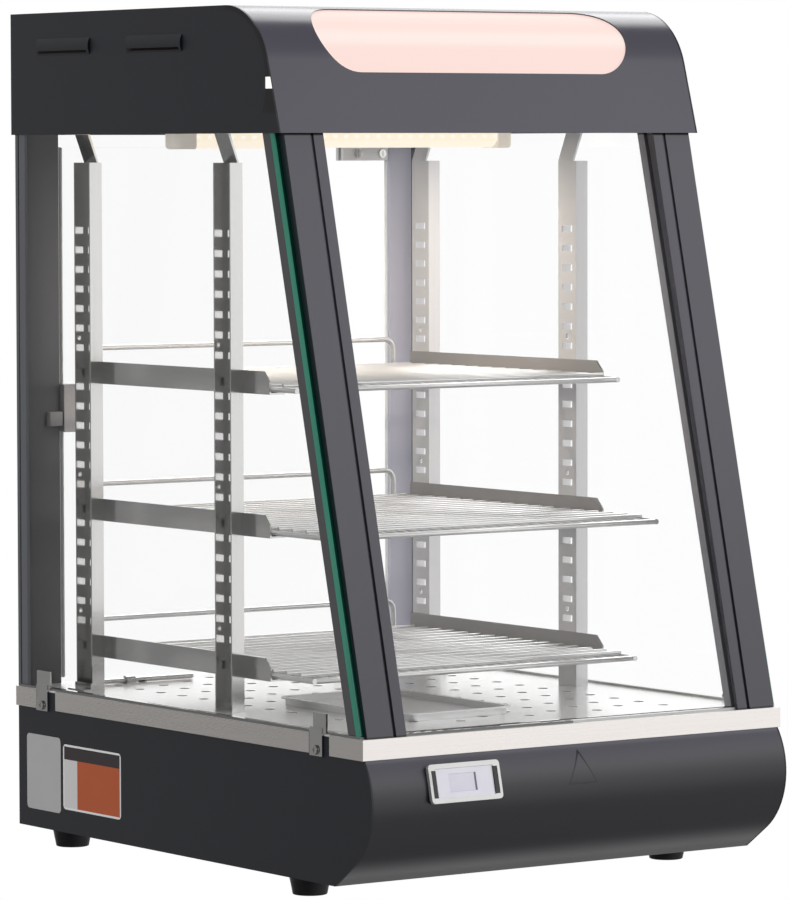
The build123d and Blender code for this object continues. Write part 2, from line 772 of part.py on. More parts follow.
# Slotted uprights, channels that open to the side glass, the rear ones with a foot angle
with BuildPart() as uprights_left:
    web_x = -upright_inner - plate / 2
    flange_x = -upright_inner - upright_flange / 2
    upright_mid = (floor_top + upright_top) / 2
    for center_y in (upright_front_y, upright_rear_y):
        with Locations((web_x, center_y, upright_mid)):
            Box(plate, upright_depth, upright_top - floor_top)
        with Locations(*[(flange_x, center_y + side * (upright_depth - plate) / 2, upright_mid)
                         for side in (-1, 1)]):
            Box(upright_flange, plate, upright_top - floor_top)
        with Locations(*[(web_x, center_y, slot_z(k + 1)) for k in range(slot_count)]):
            Box(4, slot_width, slot_height, mode=Mode.SUBTRACT)
        with Locations(*[(web_x, center_y, slot_z(k) - slot_pitch / 2) for k in round_hole_after]):
            Cylinder(round_hole_diameter / 2, 4, rotation=(0, 90, 0), mode=Mode.SUBTRACT)
        tab_rear_y = center_y + upright_depth / 2
        with BuildSketch(Plane.XZ.offset(-tab_rear_y)):
            with BuildLine():
                Polyline((-upright_inner, upright_top), (-upright_inner - plate, upright_top),
                         (-upright_inner - plate - tab_lean, roof_bottom - plate),
                         (-upright_inner - tab_lean - tab_foot, roof_bottom - plate),
                         (-upright_inner - tab_lean - tab_foot, roof_bottom),
                         (-upright_inner - tab_lean, roof_bottom), close=True)
            make_face()
        extrude(amount=tab_width)
    upright_outer = -upright_inner - upright_flange
    with Locations((upright_outer - plate / 2, upright_rear_y, floor_top + foot_flange_height / 2)):
        Box(plate, upright_depth, foot_flange_height)
    with Locations((upright_outer - foot_flange_reach / 2, upright_rear_y, floor_top + plate / 2)):
        Box(foot_flange_reach, upright_depth, plate)
uprights_left.part.label = "uprights_left"
export_step(uprights_left.part, "parts/uprights_left.step")

with BuildPart() as uprights_right:
    add(mirror(uprights_left.part, about=Plane.YZ))
uprights_right.part.label = "uprights_right"
export_step(uprights_right.part, "parts/uprights_right.step")

# Three shelf brackets a side, each hooked into the slots of both uprights
with BuildPart() as shelf_brackets_left:
    for number in shelf_slots:
        top = slot_z(number) + bracket_above_slot
        low = slot_z(number) - bracket_below_slot
        with BuildSketch(Plane.YZ.offset(-upright_inner)):
            with BuildLine():
                Polyline((bracket_rear_y, low), (bracket_rear_y, top), (bracket_front_y + bracket_nose, top),
                         (bracket_front_y, top - bracket_nose), (bracket_front_y, low), close=True)
            make_face()
        extrude(amount=plate)
        with Locations((-upright_inner + plate + bracket_ledge / 2 - plate / 2,
                        (bracket_rear_y + bracket_front_y) / 2, low + plate / 2)):
            Box(bracket_ledge + plate, bracket_rear_y - bracket_front_y, plate)
        slot_low = slot_z(number) - slot_height / 2
        for hook_y in (upright_front_y, upright_rear_y):
            with Locations((-upright_inner - plate, hook_y, slot_low + plate / 2)):
                Box(2 * plate + 0.2, slot_width - 1, plate)
            with Locations((-upright_inner - 1.5 * plate - 0.1, hook_y, slot_low + plate - hook_lip / 2)):
                Box(plate, slot_width - 1, hook_lip)
shelf_brackets_left.part.label = "shelf_brackets_left"
export_step(shelf_brackets_left.part, "parts/shelf_brackets_left.step")

with BuildPart() as shelf_brackets_right:
    add(mirror(shelf_brackets_left.part, about=Plane.YZ))
shelf_brackets_right.part.label = "shelf_brackets_right"
export_step(shelf_brackets_right.part, "parts/shelf_brackets_right.step")


# Wire grids that lie on the bracket ledges
def grid(number, front_y):
    center_z = slot_z(number) - bracket_below_slot + plate + frame_wire / 2
    wire = frame_wire / 2
    cross_z = center_z + wire + cross_wire / 2 - wire_bite
    long_z = cross_z - cross_wire / 2 - long_wire / 2 + wire_bite
    depth = grid_rear_y - front_y
    for side in (-1, 1):
        with Locations((side * grid_half_width, (grid_rear_y + front_y) / 2, center_z)):
            Cylinder(wire, depth + frame_wire, rotation=(90, 0, 0))
    with Locations((0, front_y, center_z), (0, grid_rear_y, center_z)):
        Cylinder(wire, 2 * grid_half_width, rotation=(0, 90, 0))
    rows = int((depth - 10) / cross_pitch)
    with Locations(*[(0, front_y + cross_pitch * (k + 1) - 1, cross_z) for k in range(rows)]):
        Cylinder(cross_wire / 2, 2 * grid_half_width, rotation=(0, 90, 0))
    with Locations(*[(long_pitch * (k - (long_count - 1) / 2), (grid_rear_y + front_y) / 2, long_z)
                     for k in range(long_count)]):
        Cylinder(long_wire / 2, depth, rotation=(90, 0, 0))


with BuildPart() as grid_top:
    grid(shelf_slots[0], grid_front_y[0])
grid_top.part.label = "grid_top"
export_step(grid_top.part, "parts/grid_top.step")

with BuildPart() as grid_middle:
    grid(shelf_slots[1], grid_front_y[1])
grid_middle.part.label = "grid_middle"
export_step(grid_middle.part, "parts/grid_middle.step")

with BuildPart() as grid_lower:
    grid(shelf_slots[2], grid_front_y[2])
grid_lower.part.label = "grid_lower"
export_step(grid_lower.part, "parts/grid_lower.step")


# Rear stop wires, one bent wire standing behind each grid
with BuildPart() as stop_top:
    stop_y = grid_rear_y + frame_wire
    stop_low_z = slot_z(shelf_slots[0]) - bracket_below_slot + plate
    stop_high_z = stop_low_z + stop_height - frame_wire / 2
    with BuildLine() as stop_path:
        FilletPolyline((-stop_leg_x, stop_y, stop_low_z), (-stop_leg_x, stop_y, stop_high_z),
                       (stop_leg_x, stop_y, stop_high_z), (stop_leg_x, stop_y, stop_low_z),
                       radius=stop_corner)
    with BuildSketch(Plane.XY.offset(stop_low_z)):
        with Locations((-stop_leg_x, stop_y)):
            Circle(frame_wire / 2)
    sweep(path=stop_path.wire())
stop_top.part.label = "stop_top"
export_step(stop_top.part, "parts/stop_top.step")

with BuildPart() as stop_middle:
    add(stop_top.part.moved(Location((0, 0, slot_z(shelf_slots[1]) - slot_z(shelf_slots[0])))))
stop_middle.part.label = "stop_middle"
export_step(stop_middle.part, "parts/stop_middle.step")

with BuildPart() as stop_lower:
    add(stop_top.part.moved(Location((0, 0, slot_z(shelf_slots[2]) - slot_z(shelf_slots[0])))))
stop_lower.part.label = "stop_lower"
export_step(stop_lower.part, "parts/stop_lower.step")

# Water tray on the floor plate
with BuildPart() as water_tray:
    tray_x = (tray_left + tray_right) / 2
    tray_y = (tray_front + tray_rear) / 2
    tray_w = tray_right - tray_left
    tray_d = tray_rear - tray_front
    with BuildSketch(Plane.XY.offset(floor_top)):
        with Locations((tray_x, tray_y)):
            RectangleRounded(tray_w, tray_d, tray_corner)
    extrude(amount=tray_height)
    with BuildSketch(Plane.XY.offset(floor_top + tray_height - sheet)):
        with Locations((tray_x, tray_y)):
            RectangleRounded(tray_w + 2 * tray_lip, tray_d + 2 * tray_lip, tray_corner + tray_lip)
    extrude(amount=sheet)
    with BuildSketch(Plane.XY.offset(floor_top + sheet)):
        with Locations((tray_x, tray_y)):
            RectangleRounded(tray_w - 2 * sheet, tray_d - 2 * sheet, tray_corner - sheet)
    extrude(amount=tray_height, mode=Mode.SUBTRACT)
water_tray.part.label = "water_tray"
export_step(water_tray.part, "parts/water_tray.step")

# Temperature probe lying on the floor, its tail bent down through the floor plate
probe_z = floor_top + probe_lift + probe_diameter / 2
with BuildPart() as temperature_probe:
    with BuildLine() as probe_path:
        FilletPolyline((probe_right, probe_y, probe_z), (probe_left, probe_y, probe_z),
                       (probe_left, probe_y, base_top - 12), radius=6)
    with BuildSketch(Plane.YZ.offset(probe_right)):
        with Locations((probe_y, probe_z)):
            Circle(probe_diameter / 2)
    sweep(path=probe_path.wire())
    with Locations((probe_right, probe_y, probe_z)):
        Sphere(probe_diameter / 2)
temperature_probe.part.label = "temperature_probe"
export_step(temperature_probe.part, "parts/temperature_probe.step")

# Saddle clip over the probe
with BuildPart() as probe_clip:
    saddle = probe_diameter / 2 + 0.05
    with BuildSketch(Plane.YZ.offset(probe_clip_x - 4)):
        with Locations((probe_y, probe_z)):
            Circle(saddle + plate)
        with Locations((probe_y, (floor_top + probe_z) / 2)):
            Rectangle(2 * (saddle + plate), probe_z - floor_top)
        with Locations((probe_y + saddle + 6, floor_top + plate / 2)):
            Rectangle(14, plate)
        with Locations((probe_y, probe_z)):
            Circle(saddle, mode=Mode.SUBTRACT)
        with Locations((probe_y, (floor_top + probe_z) / 2)):
            Rectangle(2 * saddle, probe_z - floor_top, mode=Mode.SUBTRACT)
        with Locations((probe_y, floor_top - 5)):
            Rectangle(40, 10, mode=Mode.SUBTRACT)
    extrude(amount=8)
probe_clip.part.label = "probe_clip"
export_step(probe_clip.part, "parts/probe_clip.step")

# Tubular heating element under the floor plate, bent in a hairpin
with BuildPart() as heating_element:
    with BuildLine() as heater_path:
        Line((heater_left, heater_half, heater_z), (heater_bend, heater_half, heater_z))
        ThreePointArc((heater_bend, heater_half, heater_z), (heater_bend + heater_half, 0, heater_z),
                      (heater_bend, -heater_half, heater_z))
        Line((heater_bend, -heater_half, heater_z), (heater_left, -heater_half, heater_z))
    with BuildSketch(Plane.YZ.offset(heater_left)):
        with Locations((heater_half, heater_z)):
            Circle(heater_diameter / 2)
    sweep(path=heater_path.wire())
heating_element.part.label = "heating_element"
export_step(heating_element.part, "parts/heating_element.step")

# Two standing brackets that hold the heating element
with BuildPart() as heater_brackets:
    bracket_base = foot_height + sheet
    for bracket_x in heater_bracket_x:
        with BuildSketch(Plane.YZ.offset(bracket_x)):
            with Locations((0, (bracket_base + heater_z + 12) / 2)):
                Rectangle(2 * heater_half + 30, heater_z + 12 - bracket_base)
            with Locations((0, heater_z - 10)):
                Rectangle(2 * heater_half - 30, 56, mode=Mode.SUBTRACT)
            with Locations((heater_half, heater_z), (-heater_half, heater_z)):
                Circle(heater_diameter / 2 + 0.05, mode=Mode.SUBTRACT)
        extrude(amount=plate)
        with Locations((bracket_x + 8, 0, bracket_base + plate / 2)):
            Box(16, 2 * heater_half + 30, plate)
heater_brackets.part.label = "heater_brackets"
export_step(heater_brackets.part, "parts/heater_brackets.step")

# Thermometer on the curved front, set square to the panel surface
meter_tilt = math.radians(meter_angle)
meter_out = (-math.cos(meter_tilt), math.sin(meter_tilt))
meter_seat = math.sqrt(bulge_radius ** 2 - (meter_face_height / 2 + 1) ** 2) - bulge_radius


def meter_at(depth):
    # plane of the thermometer, measured outward from the panel surface
    point = bulge_point(meter_angle, 0)
    return Plane(origin=(meter_x, point[0] + depth * meter_out[0], point[1] + depth * meter_out[1]),
                 x_dir=(1, 0, 0), z_dir=(0, *meter_out))


with BuildPart() as thermometer_bezel:
    with BuildSketch(meter_at(touch_gap)):
        RectangleRounded(meter_width, meter_height, 3)
        Rectangle(meter_face_width - 2, meter_face_height - 2, mode=Mode.SUBTRACT)
    extrude(amount=meter_flange)
    with BuildSketch(meter_at(touch_gap + meter_flange - meter_face_recess)):
        Rectangle(meter_face_width, meter_face_height)
    extrude(amount=meter_face_recess, mode=Mode.SUBTRACT)
thermometer_bezel.part.label = "thermometer_bezel"
export_step(thermometer_bezel.part, "parts/thermometer_bezel.step")

with BuildPart() as thermometer_body:
    with BuildSketch(meter_at(touch_gap + meter_flange - meter_face_recess)):
        Rectangle(meter_face_width - 0.2, meter_face_height - 0.2)
    extrude(amount=0.6)
    with BuildSketch(meter_at(touch_gap + meter_flange - meter_face_recess)):
        Rectangle(meter_face_width - 2.2, meter_face_height - 2.2)
    extrude(amount=-meter_body_depth)
    with BuildSketch(meter_at(touch_gap + meter_flange - meter_face_recess + 0.6)):
        with Locations((screen_offset, 0)):
            Rectangle(screen_width, screen_height)
    extrude(amount=-1, mode=Mode.SUBTRACT)
thermometer_body.part.label = "thermometer_body"
export_step(thermometer_body.part, "parts/thermometer_body.step")

with BuildPart() as thermometer_screen:
    with BuildSketch(meter_at(touch_gap + meter_flange - meter_face_recess - 0.4)):
        with Locations((screen_offset, 0)):
            Rectangle(screen_width - 0.2, screen_height - 0.2)
    extrude(amount=0.8)
thermometer_screen.part.label = "thermometer_screen"
export_step(thermometer_screen.part, "parts/thermometer_screen.step")

# Thermostat behind the rear panel with its shaft, and the knob outside
with BuildPart() as thermostat_body:
    with Locations((knob_x, rear_panel_front - 14, knob_z)):
        Box(40, 28, 36)
    with Locations((knob_x, (rear_panel_front + knob_end - 6) / 2, knob_z)):
        Cylinder(shaft_diameter / 2, knob_end - 6 - rear_panel_front, rotation=(90, 0, 0))
thermostat_body.part.label = "thermostat_body"
export_step(thermostat_body.part, "parts/thermostat_body.step")

knob_low = base_rear_y + knob_gap
with BuildPart() as thermostat_knob:
    with Locations((knob_x, (knob_low + knob_end) / 2, knob_z)):
        Cylinder(knob_radius, knob_end - knob_low, rotation=(90, 0, 0))
    chamfer(thermostat_knob.edges().group_by(Axis.Y)[-1], 2)
    with Locations((knob_x, (knob_low + knob_end - 5.8) / 2 - 0.5, knob_z)):
        Cylinder(shaft_diameter / 2 + 0.05, knob_end - 5.8 - knob_low + 1, rotation=(90, 0, 0),
                 mode=Mode.SUBTRACT)
    with Locations((knob_x, knob_end, knob_z + knob_radius - 6)):
        Box(2, 1.4, 9, mode=Mode.SUBTRACT)
thermostat_knob.part.label = "thermostat_knob"
export_step(thermostat_knob.part, "parts/thermostat_knob.step")

# Switch housings through the rear panel
rocker_axis_y = base_rear_y + switch_gap - rocker_reach
switch_inner_w = 2 * (rocker_half_width + switch_gap)
switch_inner_h = 2 * (rocker_half_height + 1)
with BuildPart() as switch_housings:
    for center_x in switch_x:
        with BuildSketch(Plane.XZ.offset(-(base_rear_y + 1.5))):
            with Locations((center_x, switch_z)):
                Rectangle(switch_inner_w + 4 * switch_wall, switch_inner_h + 4 * switch_wall)
        extrude(amount=1.5)
        with BuildSketch(Plane.XZ.offset(-base_rear_y)):
            with Locations((center_x, switch_z)):
                Rectangle(switch_inner_w + 2 * switch_wall - 0.2, switch_inner_h + 2 * switch_wall - 0.2)
        extrude(amount=switch_depth)
        with BuildSketch(Plane.XZ.offset(-(base_rear_y + 1.5))):
            with Locations((center_x, switch_z)):
                Rectangle(switch_inner_w, switch_inner_h)
        extrude(amount=switch_depth - 2, mode=Mode.SUBTRACT)
        with Locations((center_x, rocker_axis_y, switch_z)):
            Cylinder(rocker_axis_radius, switch_inner_w + 2, rotation=(0, 90, 0))
switch_housings.part.label = "switch_housings"
export_step(switch_housings.part, "parts/switch_housings.step")


# Rockers that tip about a pin across the housing
with BuildPart() as power_switch:
    rise = rocker_half_height * math.tan(math.radians(rocker_angle))
    with BuildSketch(Plane.YZ.offset(switch_x[0] - rocker_half_width)):
        with BuildLine():
            Polyline((rocker_axis_y + rocker_reach, switch_z + rocker_half_height),
                     (rocker_axis_y + rocker_reach - rise, switch_z),
                     (rocker_axis_y + rocker_reach, switch_z - rocker_half_height),
                     (rocker_axis_y, switch_z - rocker_half_height),
                     (rocker_axis_y - rocker_axis_radius - 2.5, switch_z - 4),
                     (rocker_axis_y - rocker_axis_radius - 2.5, switch_z + 4),
                     (rocker_axis_y, switch_z + rocker_half_height), close=True)
        make_face()
        with Locations((rocker_axis_y, switch_z)):
            Circle(rocker_axis_radius + 0.05, mode=Mode.SUBTRACT)
    extrude(amount=2 * rocker_half_width)
power_switch.part.label = "power_switch"
export_step(power_switch.part, "parts/power_switch.step")

with BuildPart() as light_switch:
    add(power_switch.part.moved(Location((switch_x[1] - switch_x[0], 0, 0))))
light_switch.part.label = "light_switch"
export_step(light_switch.part, "parts/light_switch.step")

# Cable gland in the rear panel
with BuildPart() as cable_gland:
    with Locations((gland_x, base_rear_y - 3, gland_z)):
        Cylinder(8 - touch_gap, 16, rotation=(90, 0, 0))
    with BuildSketch(Plane.XZ.offset(-base_rear_y)):
        with Locations((gland_x, gland_z)):
            RegularPolygon(12, 6)
    extrude(amount=-6)
    with BuildSketch(Plane.XZ.offset(-rear_panel_front)):
        with Locations((gland_x, gland_z)):
            RegularPolygon(11, 6)
    extrude(amount=5)
    with Locations((gland_x, base_rear_y + 9, gland_z)):
        Cylinder(9, 6, rotation=(90, 0, 0))
    fillet(cable_gland.edges().group_by(Axis.Y)[-1], 3)
    with Locations((gland_x, base_rear_y, gland_z)):
        Cylinder(4, 40, rotation=(90, 0, 0), mode=Mode.SUBTRACT)
cable_gland.part.label = "cable_gland"
export_step(cable_gland.part, "parts/cable_gland.step")

# Rear door glass
with BuildPart() as door_glass:
    with Locations(((door_left + door_right) / 2, door_center_y, (door_bottom + door_top) / 2)):
        Box(door_right - door_left, door_glass_thickness, door_top - door_bottom)
    for screw_x in clamp_screw_x:
        with Locations((screw_x, door_center_y, clamp_top_z + clamp_height / 2 - 1),
                       (screw_x, door_center_y, clamp_bottom_z + clamp_height / 2 + 1)):
            Cylinder(3, 8, rotation=(90, 0, 0), mode=Mode.SUBTRACT)
door_glass.part.label = "door_glass"
export_step(door_glass.part, "parts/door_glass.step")

# Clamps on the hinged corners of the door, rounded around the pivot
with BuildPart() as door_clamps:
    for low_z, slot_low, slot_high in ((clamp_top_z, clamp_top_z - 1, door_top),
                                       (clamp_bottom_z, door_bottom, clamp_bottom_z + clamp_height + 1)):
        with BuildSketch(Plane.XY.offset(low_z)):
            with Locations(((clamp_left + hinge_x) / 2, door_center_y)):
                Rectangle(hinge_x - clamp_left, clamp_thickness)
            with Locations((hinge_x, door_center_y)):
                Circle(clamp_thickness / 2)
        extrude(amount=clamp_height)
        with Locations(((clamp_left + hinge_x) / 2, door_center_y, (slot_low + slot_high) / 2)):
            Box(hinge_x - clamp_left + 20, door_glass_thickness, slot_high - slot_low, mode=Mode.SUBTRACT)
    for screw_x in clamp_screw_x:
        with Locations((screw_x, door_center_y, clamp_top_z + clamp_height / 2 - 1),
                       (screw_x, door_center_y, clamp_bottom_z + clamp_height / 2 + 1)):
            Cylinder(2, 2 * clamp_thickness, rotation=(90, 0, 0), mode=Mode.SUBTRACT)
door_clamps.part.label = "door_clamps"
export_step(door_clamps.part, "parts/door_clamps.step")

# Screws through the door clamps
with BuildPart() as clamp_bolts:
    for screw_x in clamp_screw_x:
        for screw_z in (clamp_top_z + clamp_height / 2 - 1, clamp_bottom_z + clamp_height / 2 + 1):
            with Locations((screw_x, door_center_y, screw_z)):
                Cylinder(1.95, clamp_thickness, rotation=(90, 0, 0))
            with Locations((screw_x, door_center_y - clamp_thickness / 2 - 0.8, screw_z),
                           (screw_x, door_center_y + clamp_thickness / 2 + 0.8, screw_z)):
                Cylinder(3.4, 1.6, rotation=(90, 0, 0))
            with Locations((screw_x, door_center_y - clamp_thickness / 2 - 1.6, screw_z)):
                Box(0.8, 1.2, 4, mode=Mode.SUBTRACT)
clamp_bolts.part.label = "clamp_bolts"
export_step(clamp_bolts.part, "parts/clamp_bolts.step")

# Pivot pins standing out of the clamps
with BuildPart() as pivot_pins:
    with Locations((hinge_x, door_center_y, clamp_top_z + clamp_height)):
        Cylinder(pin_diameter / 2, pin_length, align=(Align.CENTER, Align.CENTER, Align.MIN))
    with Locations((hinge_x, door_center_y, clamp_bottom_z)):
        Cylinder(pin_diameter / 2, socket_depth, align=(Align.CENTER, Align.CENTER, Align.MAX))
pivot_pins.part.label = "pivot_pins"
export_step(pivot_pins.part, "parts/pivot_pins.step")

# Fixed sockets above and below the door
with BuildPart() as pivot_sockets:
    upper_low = clamp_top_z + clamp_height + 0.2
    socket_y = door_center_y - 2.2
    with Locations((hinge_x - 4, socket_y, (upper_low + roof_bottom) / 2)):
        Box(20, 11, roof_bottom - upper_low)
    with Locations((hinge_x - 4, socket_y, (floor_top + socket_top) / 2)):
        Box(20, 11, socket_top - floor_top)
    with Locations((hinge_x, door_center_y, upper_low)):
        Cylinder(pin_diameter / 2 + pin_clearance, pin_length + 0.4, mode=Mode.SUBTRACT,
                 align=(Align.CENTER, Align.CENTER, Align.MIN))
    with Locations((hinge_x, door_center_y, socket_top)):
        Cylinder(pin_diameter / 2 + pin_clearance, socket_top - floor_top, mode=Mode.SUBTRACT,
                 align=(Align.CENTER, Align.CENTER, Align.MAX))
pivot_sockets.part.label = "pivot_sockets"
export_step(pivot_sockets.part, "parts/pivot_sockets.step")

# Handle clipped over the free edge of the door
with BuildPart() as door_handle:
    handle_w = handle_x[1] - handle_x[0]
    handle_h = handle_z[1] - handle_z[0]
    handle_mid = (handle_x[0] + handle_x[1]) / 2
    handle_center = (handle_z[0] + handle_z[1]) / 2
    glass_front = door_center_y - door_glass_thickness / 2
    glass_back = door_center_y + door_glass_thickness / 2
    with Locations((handle_mid, (glass_front - 3 + glass_back + 3) / 2, handle_center)):
        Box(handle_w, glass_back - glass_front + 6, handle_h)
    with Locations((handle_mid + 2, (glass_back + rear_y + handle_reach) / 2, handle_center)):
        Box(4, rear_y + handle_reach - glass_back, handle_h)
    fillet(door_handle.edges().filter_by(Axis.Y).group_by(Axis.Z)[0], 1.5)
    with Locations(((door_left + handle_x[1] + 6) / 2, door_center_y, handle_center)):
        Box(handle_x[1] + 6 - door_left, door_glass_thickness, handle_h + 2, mode=Mode.SUBTRACT)
door_handle.part.label = "door_handle"
export_step(door_handle.part, "parts/door_handle.step")

# Magnet catch on the left rear post
with BuildPart() as magnet_catch:
    catch_right = -base_half_width + rear_post_left_width - 0.2
    with Locations(((catch_right + catch_left) / 2, rear_post_front - catch_depth / 2, catch_z)):
        Box(catch_right - catch_left, catch_depth, catch_height)
    fillet(magnet_catch.edges().filter_by(Axis.Z).group_by(Axis.Y)[0], 1)
magnet_catch.part.label = "magnet_catch"
export_step(magnet_catch.part, "parts/magnet_catch.step")
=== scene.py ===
import math
import bmesh
import bpy
from mathutils import Matrix, Vector


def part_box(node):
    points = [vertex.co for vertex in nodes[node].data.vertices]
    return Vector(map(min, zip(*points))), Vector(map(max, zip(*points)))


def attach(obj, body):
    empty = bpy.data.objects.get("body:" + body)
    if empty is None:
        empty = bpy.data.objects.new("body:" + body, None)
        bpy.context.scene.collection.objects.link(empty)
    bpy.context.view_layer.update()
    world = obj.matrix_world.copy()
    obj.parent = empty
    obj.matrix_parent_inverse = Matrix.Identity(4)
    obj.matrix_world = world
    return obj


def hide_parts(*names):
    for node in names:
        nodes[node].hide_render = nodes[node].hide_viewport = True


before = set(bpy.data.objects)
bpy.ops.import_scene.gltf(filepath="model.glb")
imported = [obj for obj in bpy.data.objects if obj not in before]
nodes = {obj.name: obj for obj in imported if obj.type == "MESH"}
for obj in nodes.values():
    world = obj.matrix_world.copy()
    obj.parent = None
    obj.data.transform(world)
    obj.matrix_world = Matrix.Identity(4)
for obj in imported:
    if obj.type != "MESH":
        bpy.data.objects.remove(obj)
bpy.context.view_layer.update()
mm = 0.001
print("stage: frame loaded")


# a shader socket that can be used in sums
class Wave:
    def __init__(self, shade, socket):
        self.shade = shade
        self.socket = socket

    def combine(self, operation, first, second=0.0):
        node = self.shade.make("Math", {0: first, 1: second}, operation=operation)
        return Wave(self.shade, node.outputs[0])

    def __add__(self, other):
        return self.combine("ADD", self, other)

    def __radd__(self, other):
        return self.combine("ADD", other, self)

    def __sub__(self, other):
        return self.combine("SUBTRACT", self, other)

    def __rsub__(self, other):
        return self.combine("SUBTRACT", other, self)

    def __mul__(self, other):
        return self.combine("MULTIPLY", self, other)

    def __rmul__(self, other):
        return self.combine("MULTIPLY", other, self)

    def above(self, edge):
        return self.combine("GREATER_THAN", self, edge)

    def below(self, edge):
        return self.combine("LESS_THAN", self, edge)

    def size(self):
        return self.combine("ABSOLUTE", self)

    def wrap(self, step):
        return self.combine("PINGPONG", self, step)

    # a soft step from low to high, falling where low is the larger one
    def smooth(self, low, high, start=0.0, end=1.0):
        node = self.shade.make("MapRange", {"Value": self, "From Min": low, "From Max": high,
                                            "To Min": start, "To Max": end},
                               interpolation_type="SMOOTHSTEP")
        return Wave(self.shade, node.outputs[0])


# one material or world tree with short ways to add nodes
class Shade:
    def __init__(self, name=None, tree=None):
        if tree is None:
            self.material = bpy.data.materials.new(name)
            self.material.use_nodes = True
            self.tree = self.material.node_tree
            self.surface = self.tree.nodes["Principled BSDF"]
        else:
            self.tree = tree
        self.cache = {}

    def make(self, kind, inputs=None, **settings):
        node = self.tree.nodes.new("ShaderNode" + kind)
        for key, value in settings.items():
            setattr(node, key, value)
        for key, value in (inputs or {}).items():
            self.put(node.inputs[key], value)
        return node

    def put(self, socket, value):
        if isinstance(value, Wave):
            value = value.socket
        if isinstance(value, bpy.types.NodeSocket):
            self.tree.links.new(value, socket)
        elif isinstance(value, (tuple, list)) and len(value) == 3 and socket.type == "RGBA":
            socket.default_value = (*value, 1.0)
        else:
            socket.default_value = value

    def place(self):
        if "place" not in self.cache:
            self.cache["place"] = self.make("TexCoord").outputs["Object"]
        return self.cache["place"]

    def split(self, vector):
        parts = self.make("SeparateXYZ", {0: vector})
        return [Wave(self, parts.outputs[k]) for k in range(3)]

    def axes(self):
        if "axes" not in self.cache:
            self.cache["axes"] = self.split(self.place())
        return self.cache["axes"]

    def noise(self, scale, stretch=(1, 1, 1), detail=3.0, rough=0.5):
        shift = self.make("Mapping", {"Vector": self.place(), "Scale": stretch})
        node = self.make("TexNoise", {"Vector": shift.outputs[0], "Scale": scale, "Detail": detail,
                                      "Roughness": rough})
        return Wave(self, node.outputs[0])

    def blend(self, share, first, second):
        node = self.make("Mix", data_type="RGBA")
        self.put(node.inputs[0], share)
        self.put(node.inputs[6], first)
        self.put(node.inputs[7], second)
        return node.outputs[2]

    def bump(self, height, strength, distance):
        node = self.make("Bump", {"Height": height, "Strength": strength, "Distance": distance})
        self.put(self.surface.inputs["Normal"], node.outputs[0])

    def fill(self, **values):
        for key, value in values.items():
            self.put(self.surface.inputs[key.replace("_", " ")], value)


def srgb(red, green, blue):
    def lin(level):
        part = level / 255
        return part / 12.92 if part <= 0.04045 else ((part + 0.055) / 1.055) ** 2.4
    return (lin(red), lin(green), lin(blue))


# paint and print: two tones in soft clouds, then each further tone where its mask says so
coatBase = {"cloud": 9.0, "mottle": 0.06, "ior": 1.5, "detail": 2.0, "depth": 0.1}


def coat(name, look, layers=()):
    look = {**coatBase, **look}
    shade = Shade(name)
    cloud = shade.noise(look["cloud"])
    tone = shade.blend(cloud, look["dark"], look["light"])
    for mask, color in layers:
        tone = shade.blend(mask(*shade.axes()), tone, color)
    shade.fill(Base_Color=tone, IOR=look["ior"],
               Roughness=look["rough"] + (cloud - 0.5) * look["mottle"])
    if "grain" in look:
        shade.bump(shade.noise(look["grain"], detail=look["detail"]), look["bump"], look["depth"] * mm)
    return shade.material


# black for joint lines and print, and for painted shadow at the front posts' ends
lineAndShadowBlack = (0.002, 0.002, 0.003)
blackLook = {"dark": (0.0085, 0.0095, 0.0135), "light": (0.0115, 0.0125, 0.0175),
             "rough": 0.42, "grain": 2600.0, "bump": 0.08}
blackPaint = coat("blackPaint", blackLook)
# the cover shell is the same black paint as its sides; its much paler tone is painted light on the lit
# front
frontBlackPaintedLight = coat("frontBlackPaintedLight", {"dark": (0.072, 0.068, 0.090), "light": (0.082, 0.078, 0.102),
                                 "rough": 0.22, "ior": 1.55, "grain": 2600.0, "bump": 0.05})

# the cover's side plates show a black joint line round the front curve
curveLook = {"y": -68, "z": 582, "start": 52.2, "low": 560}


def curveLine(x, y, z):
    back = y - curveLook["y"] * mm
    lift = z - curveLook["z"] * mm
    outside = (back * back + lift * lift).above((curveLook["start"] * mm) ** 2)
    return back.below(0) * z.above(curveLook["low"] * mm) * outside


coverPaint = coat("coverPaint", blackLook, [(curveLine, lineAndShadowBlack)])

# the base front is painted paler along its upper edge as a painted highlight, and bears a bare triangle
# outline
markLook = {"x": -1.5, "low": 77.0, "high": 101.5, "half": 13.4, "line": 1.3, "slantLine": 1.469}
baseLook = {"dark": (0.011, 0.0105, 0.0145), "light": (0.014, 0.0135, 0.018), "rough": 0.30,
            "ior": 1.55, "grain": 2600.0, "bump": 0.05,
            "top": (0.125, 0.121, 0.148), "paintedLightFadeLow": 76, "paintedLightFadeHigh": 114}


def triangle(x, y, z):
    lift = z - markLook["low"] * mm
    rise = lift * (markLook["half"] / (markLook["high"] - markLook["low"]))
    depth = markLook["half"] * mm - rise - (x - markLook["x"] * mm).size()
    inner = depth.above(markLook["slantLine"] * mm) * lift.above(markLook["line"] * mm)
    return depth.above(0) * lift.above(0) * (1.0 - inner)


basePaint = coat("basePaint", baseLook, [
    (lambda x, y, z: z.smooth(baseLook["paintedLightFadeLow"] * mm, baseLook["paintedLightFadeHigh"] * mm), baseLook["top"]),
    (triangle, lineAndShadowBlack)])
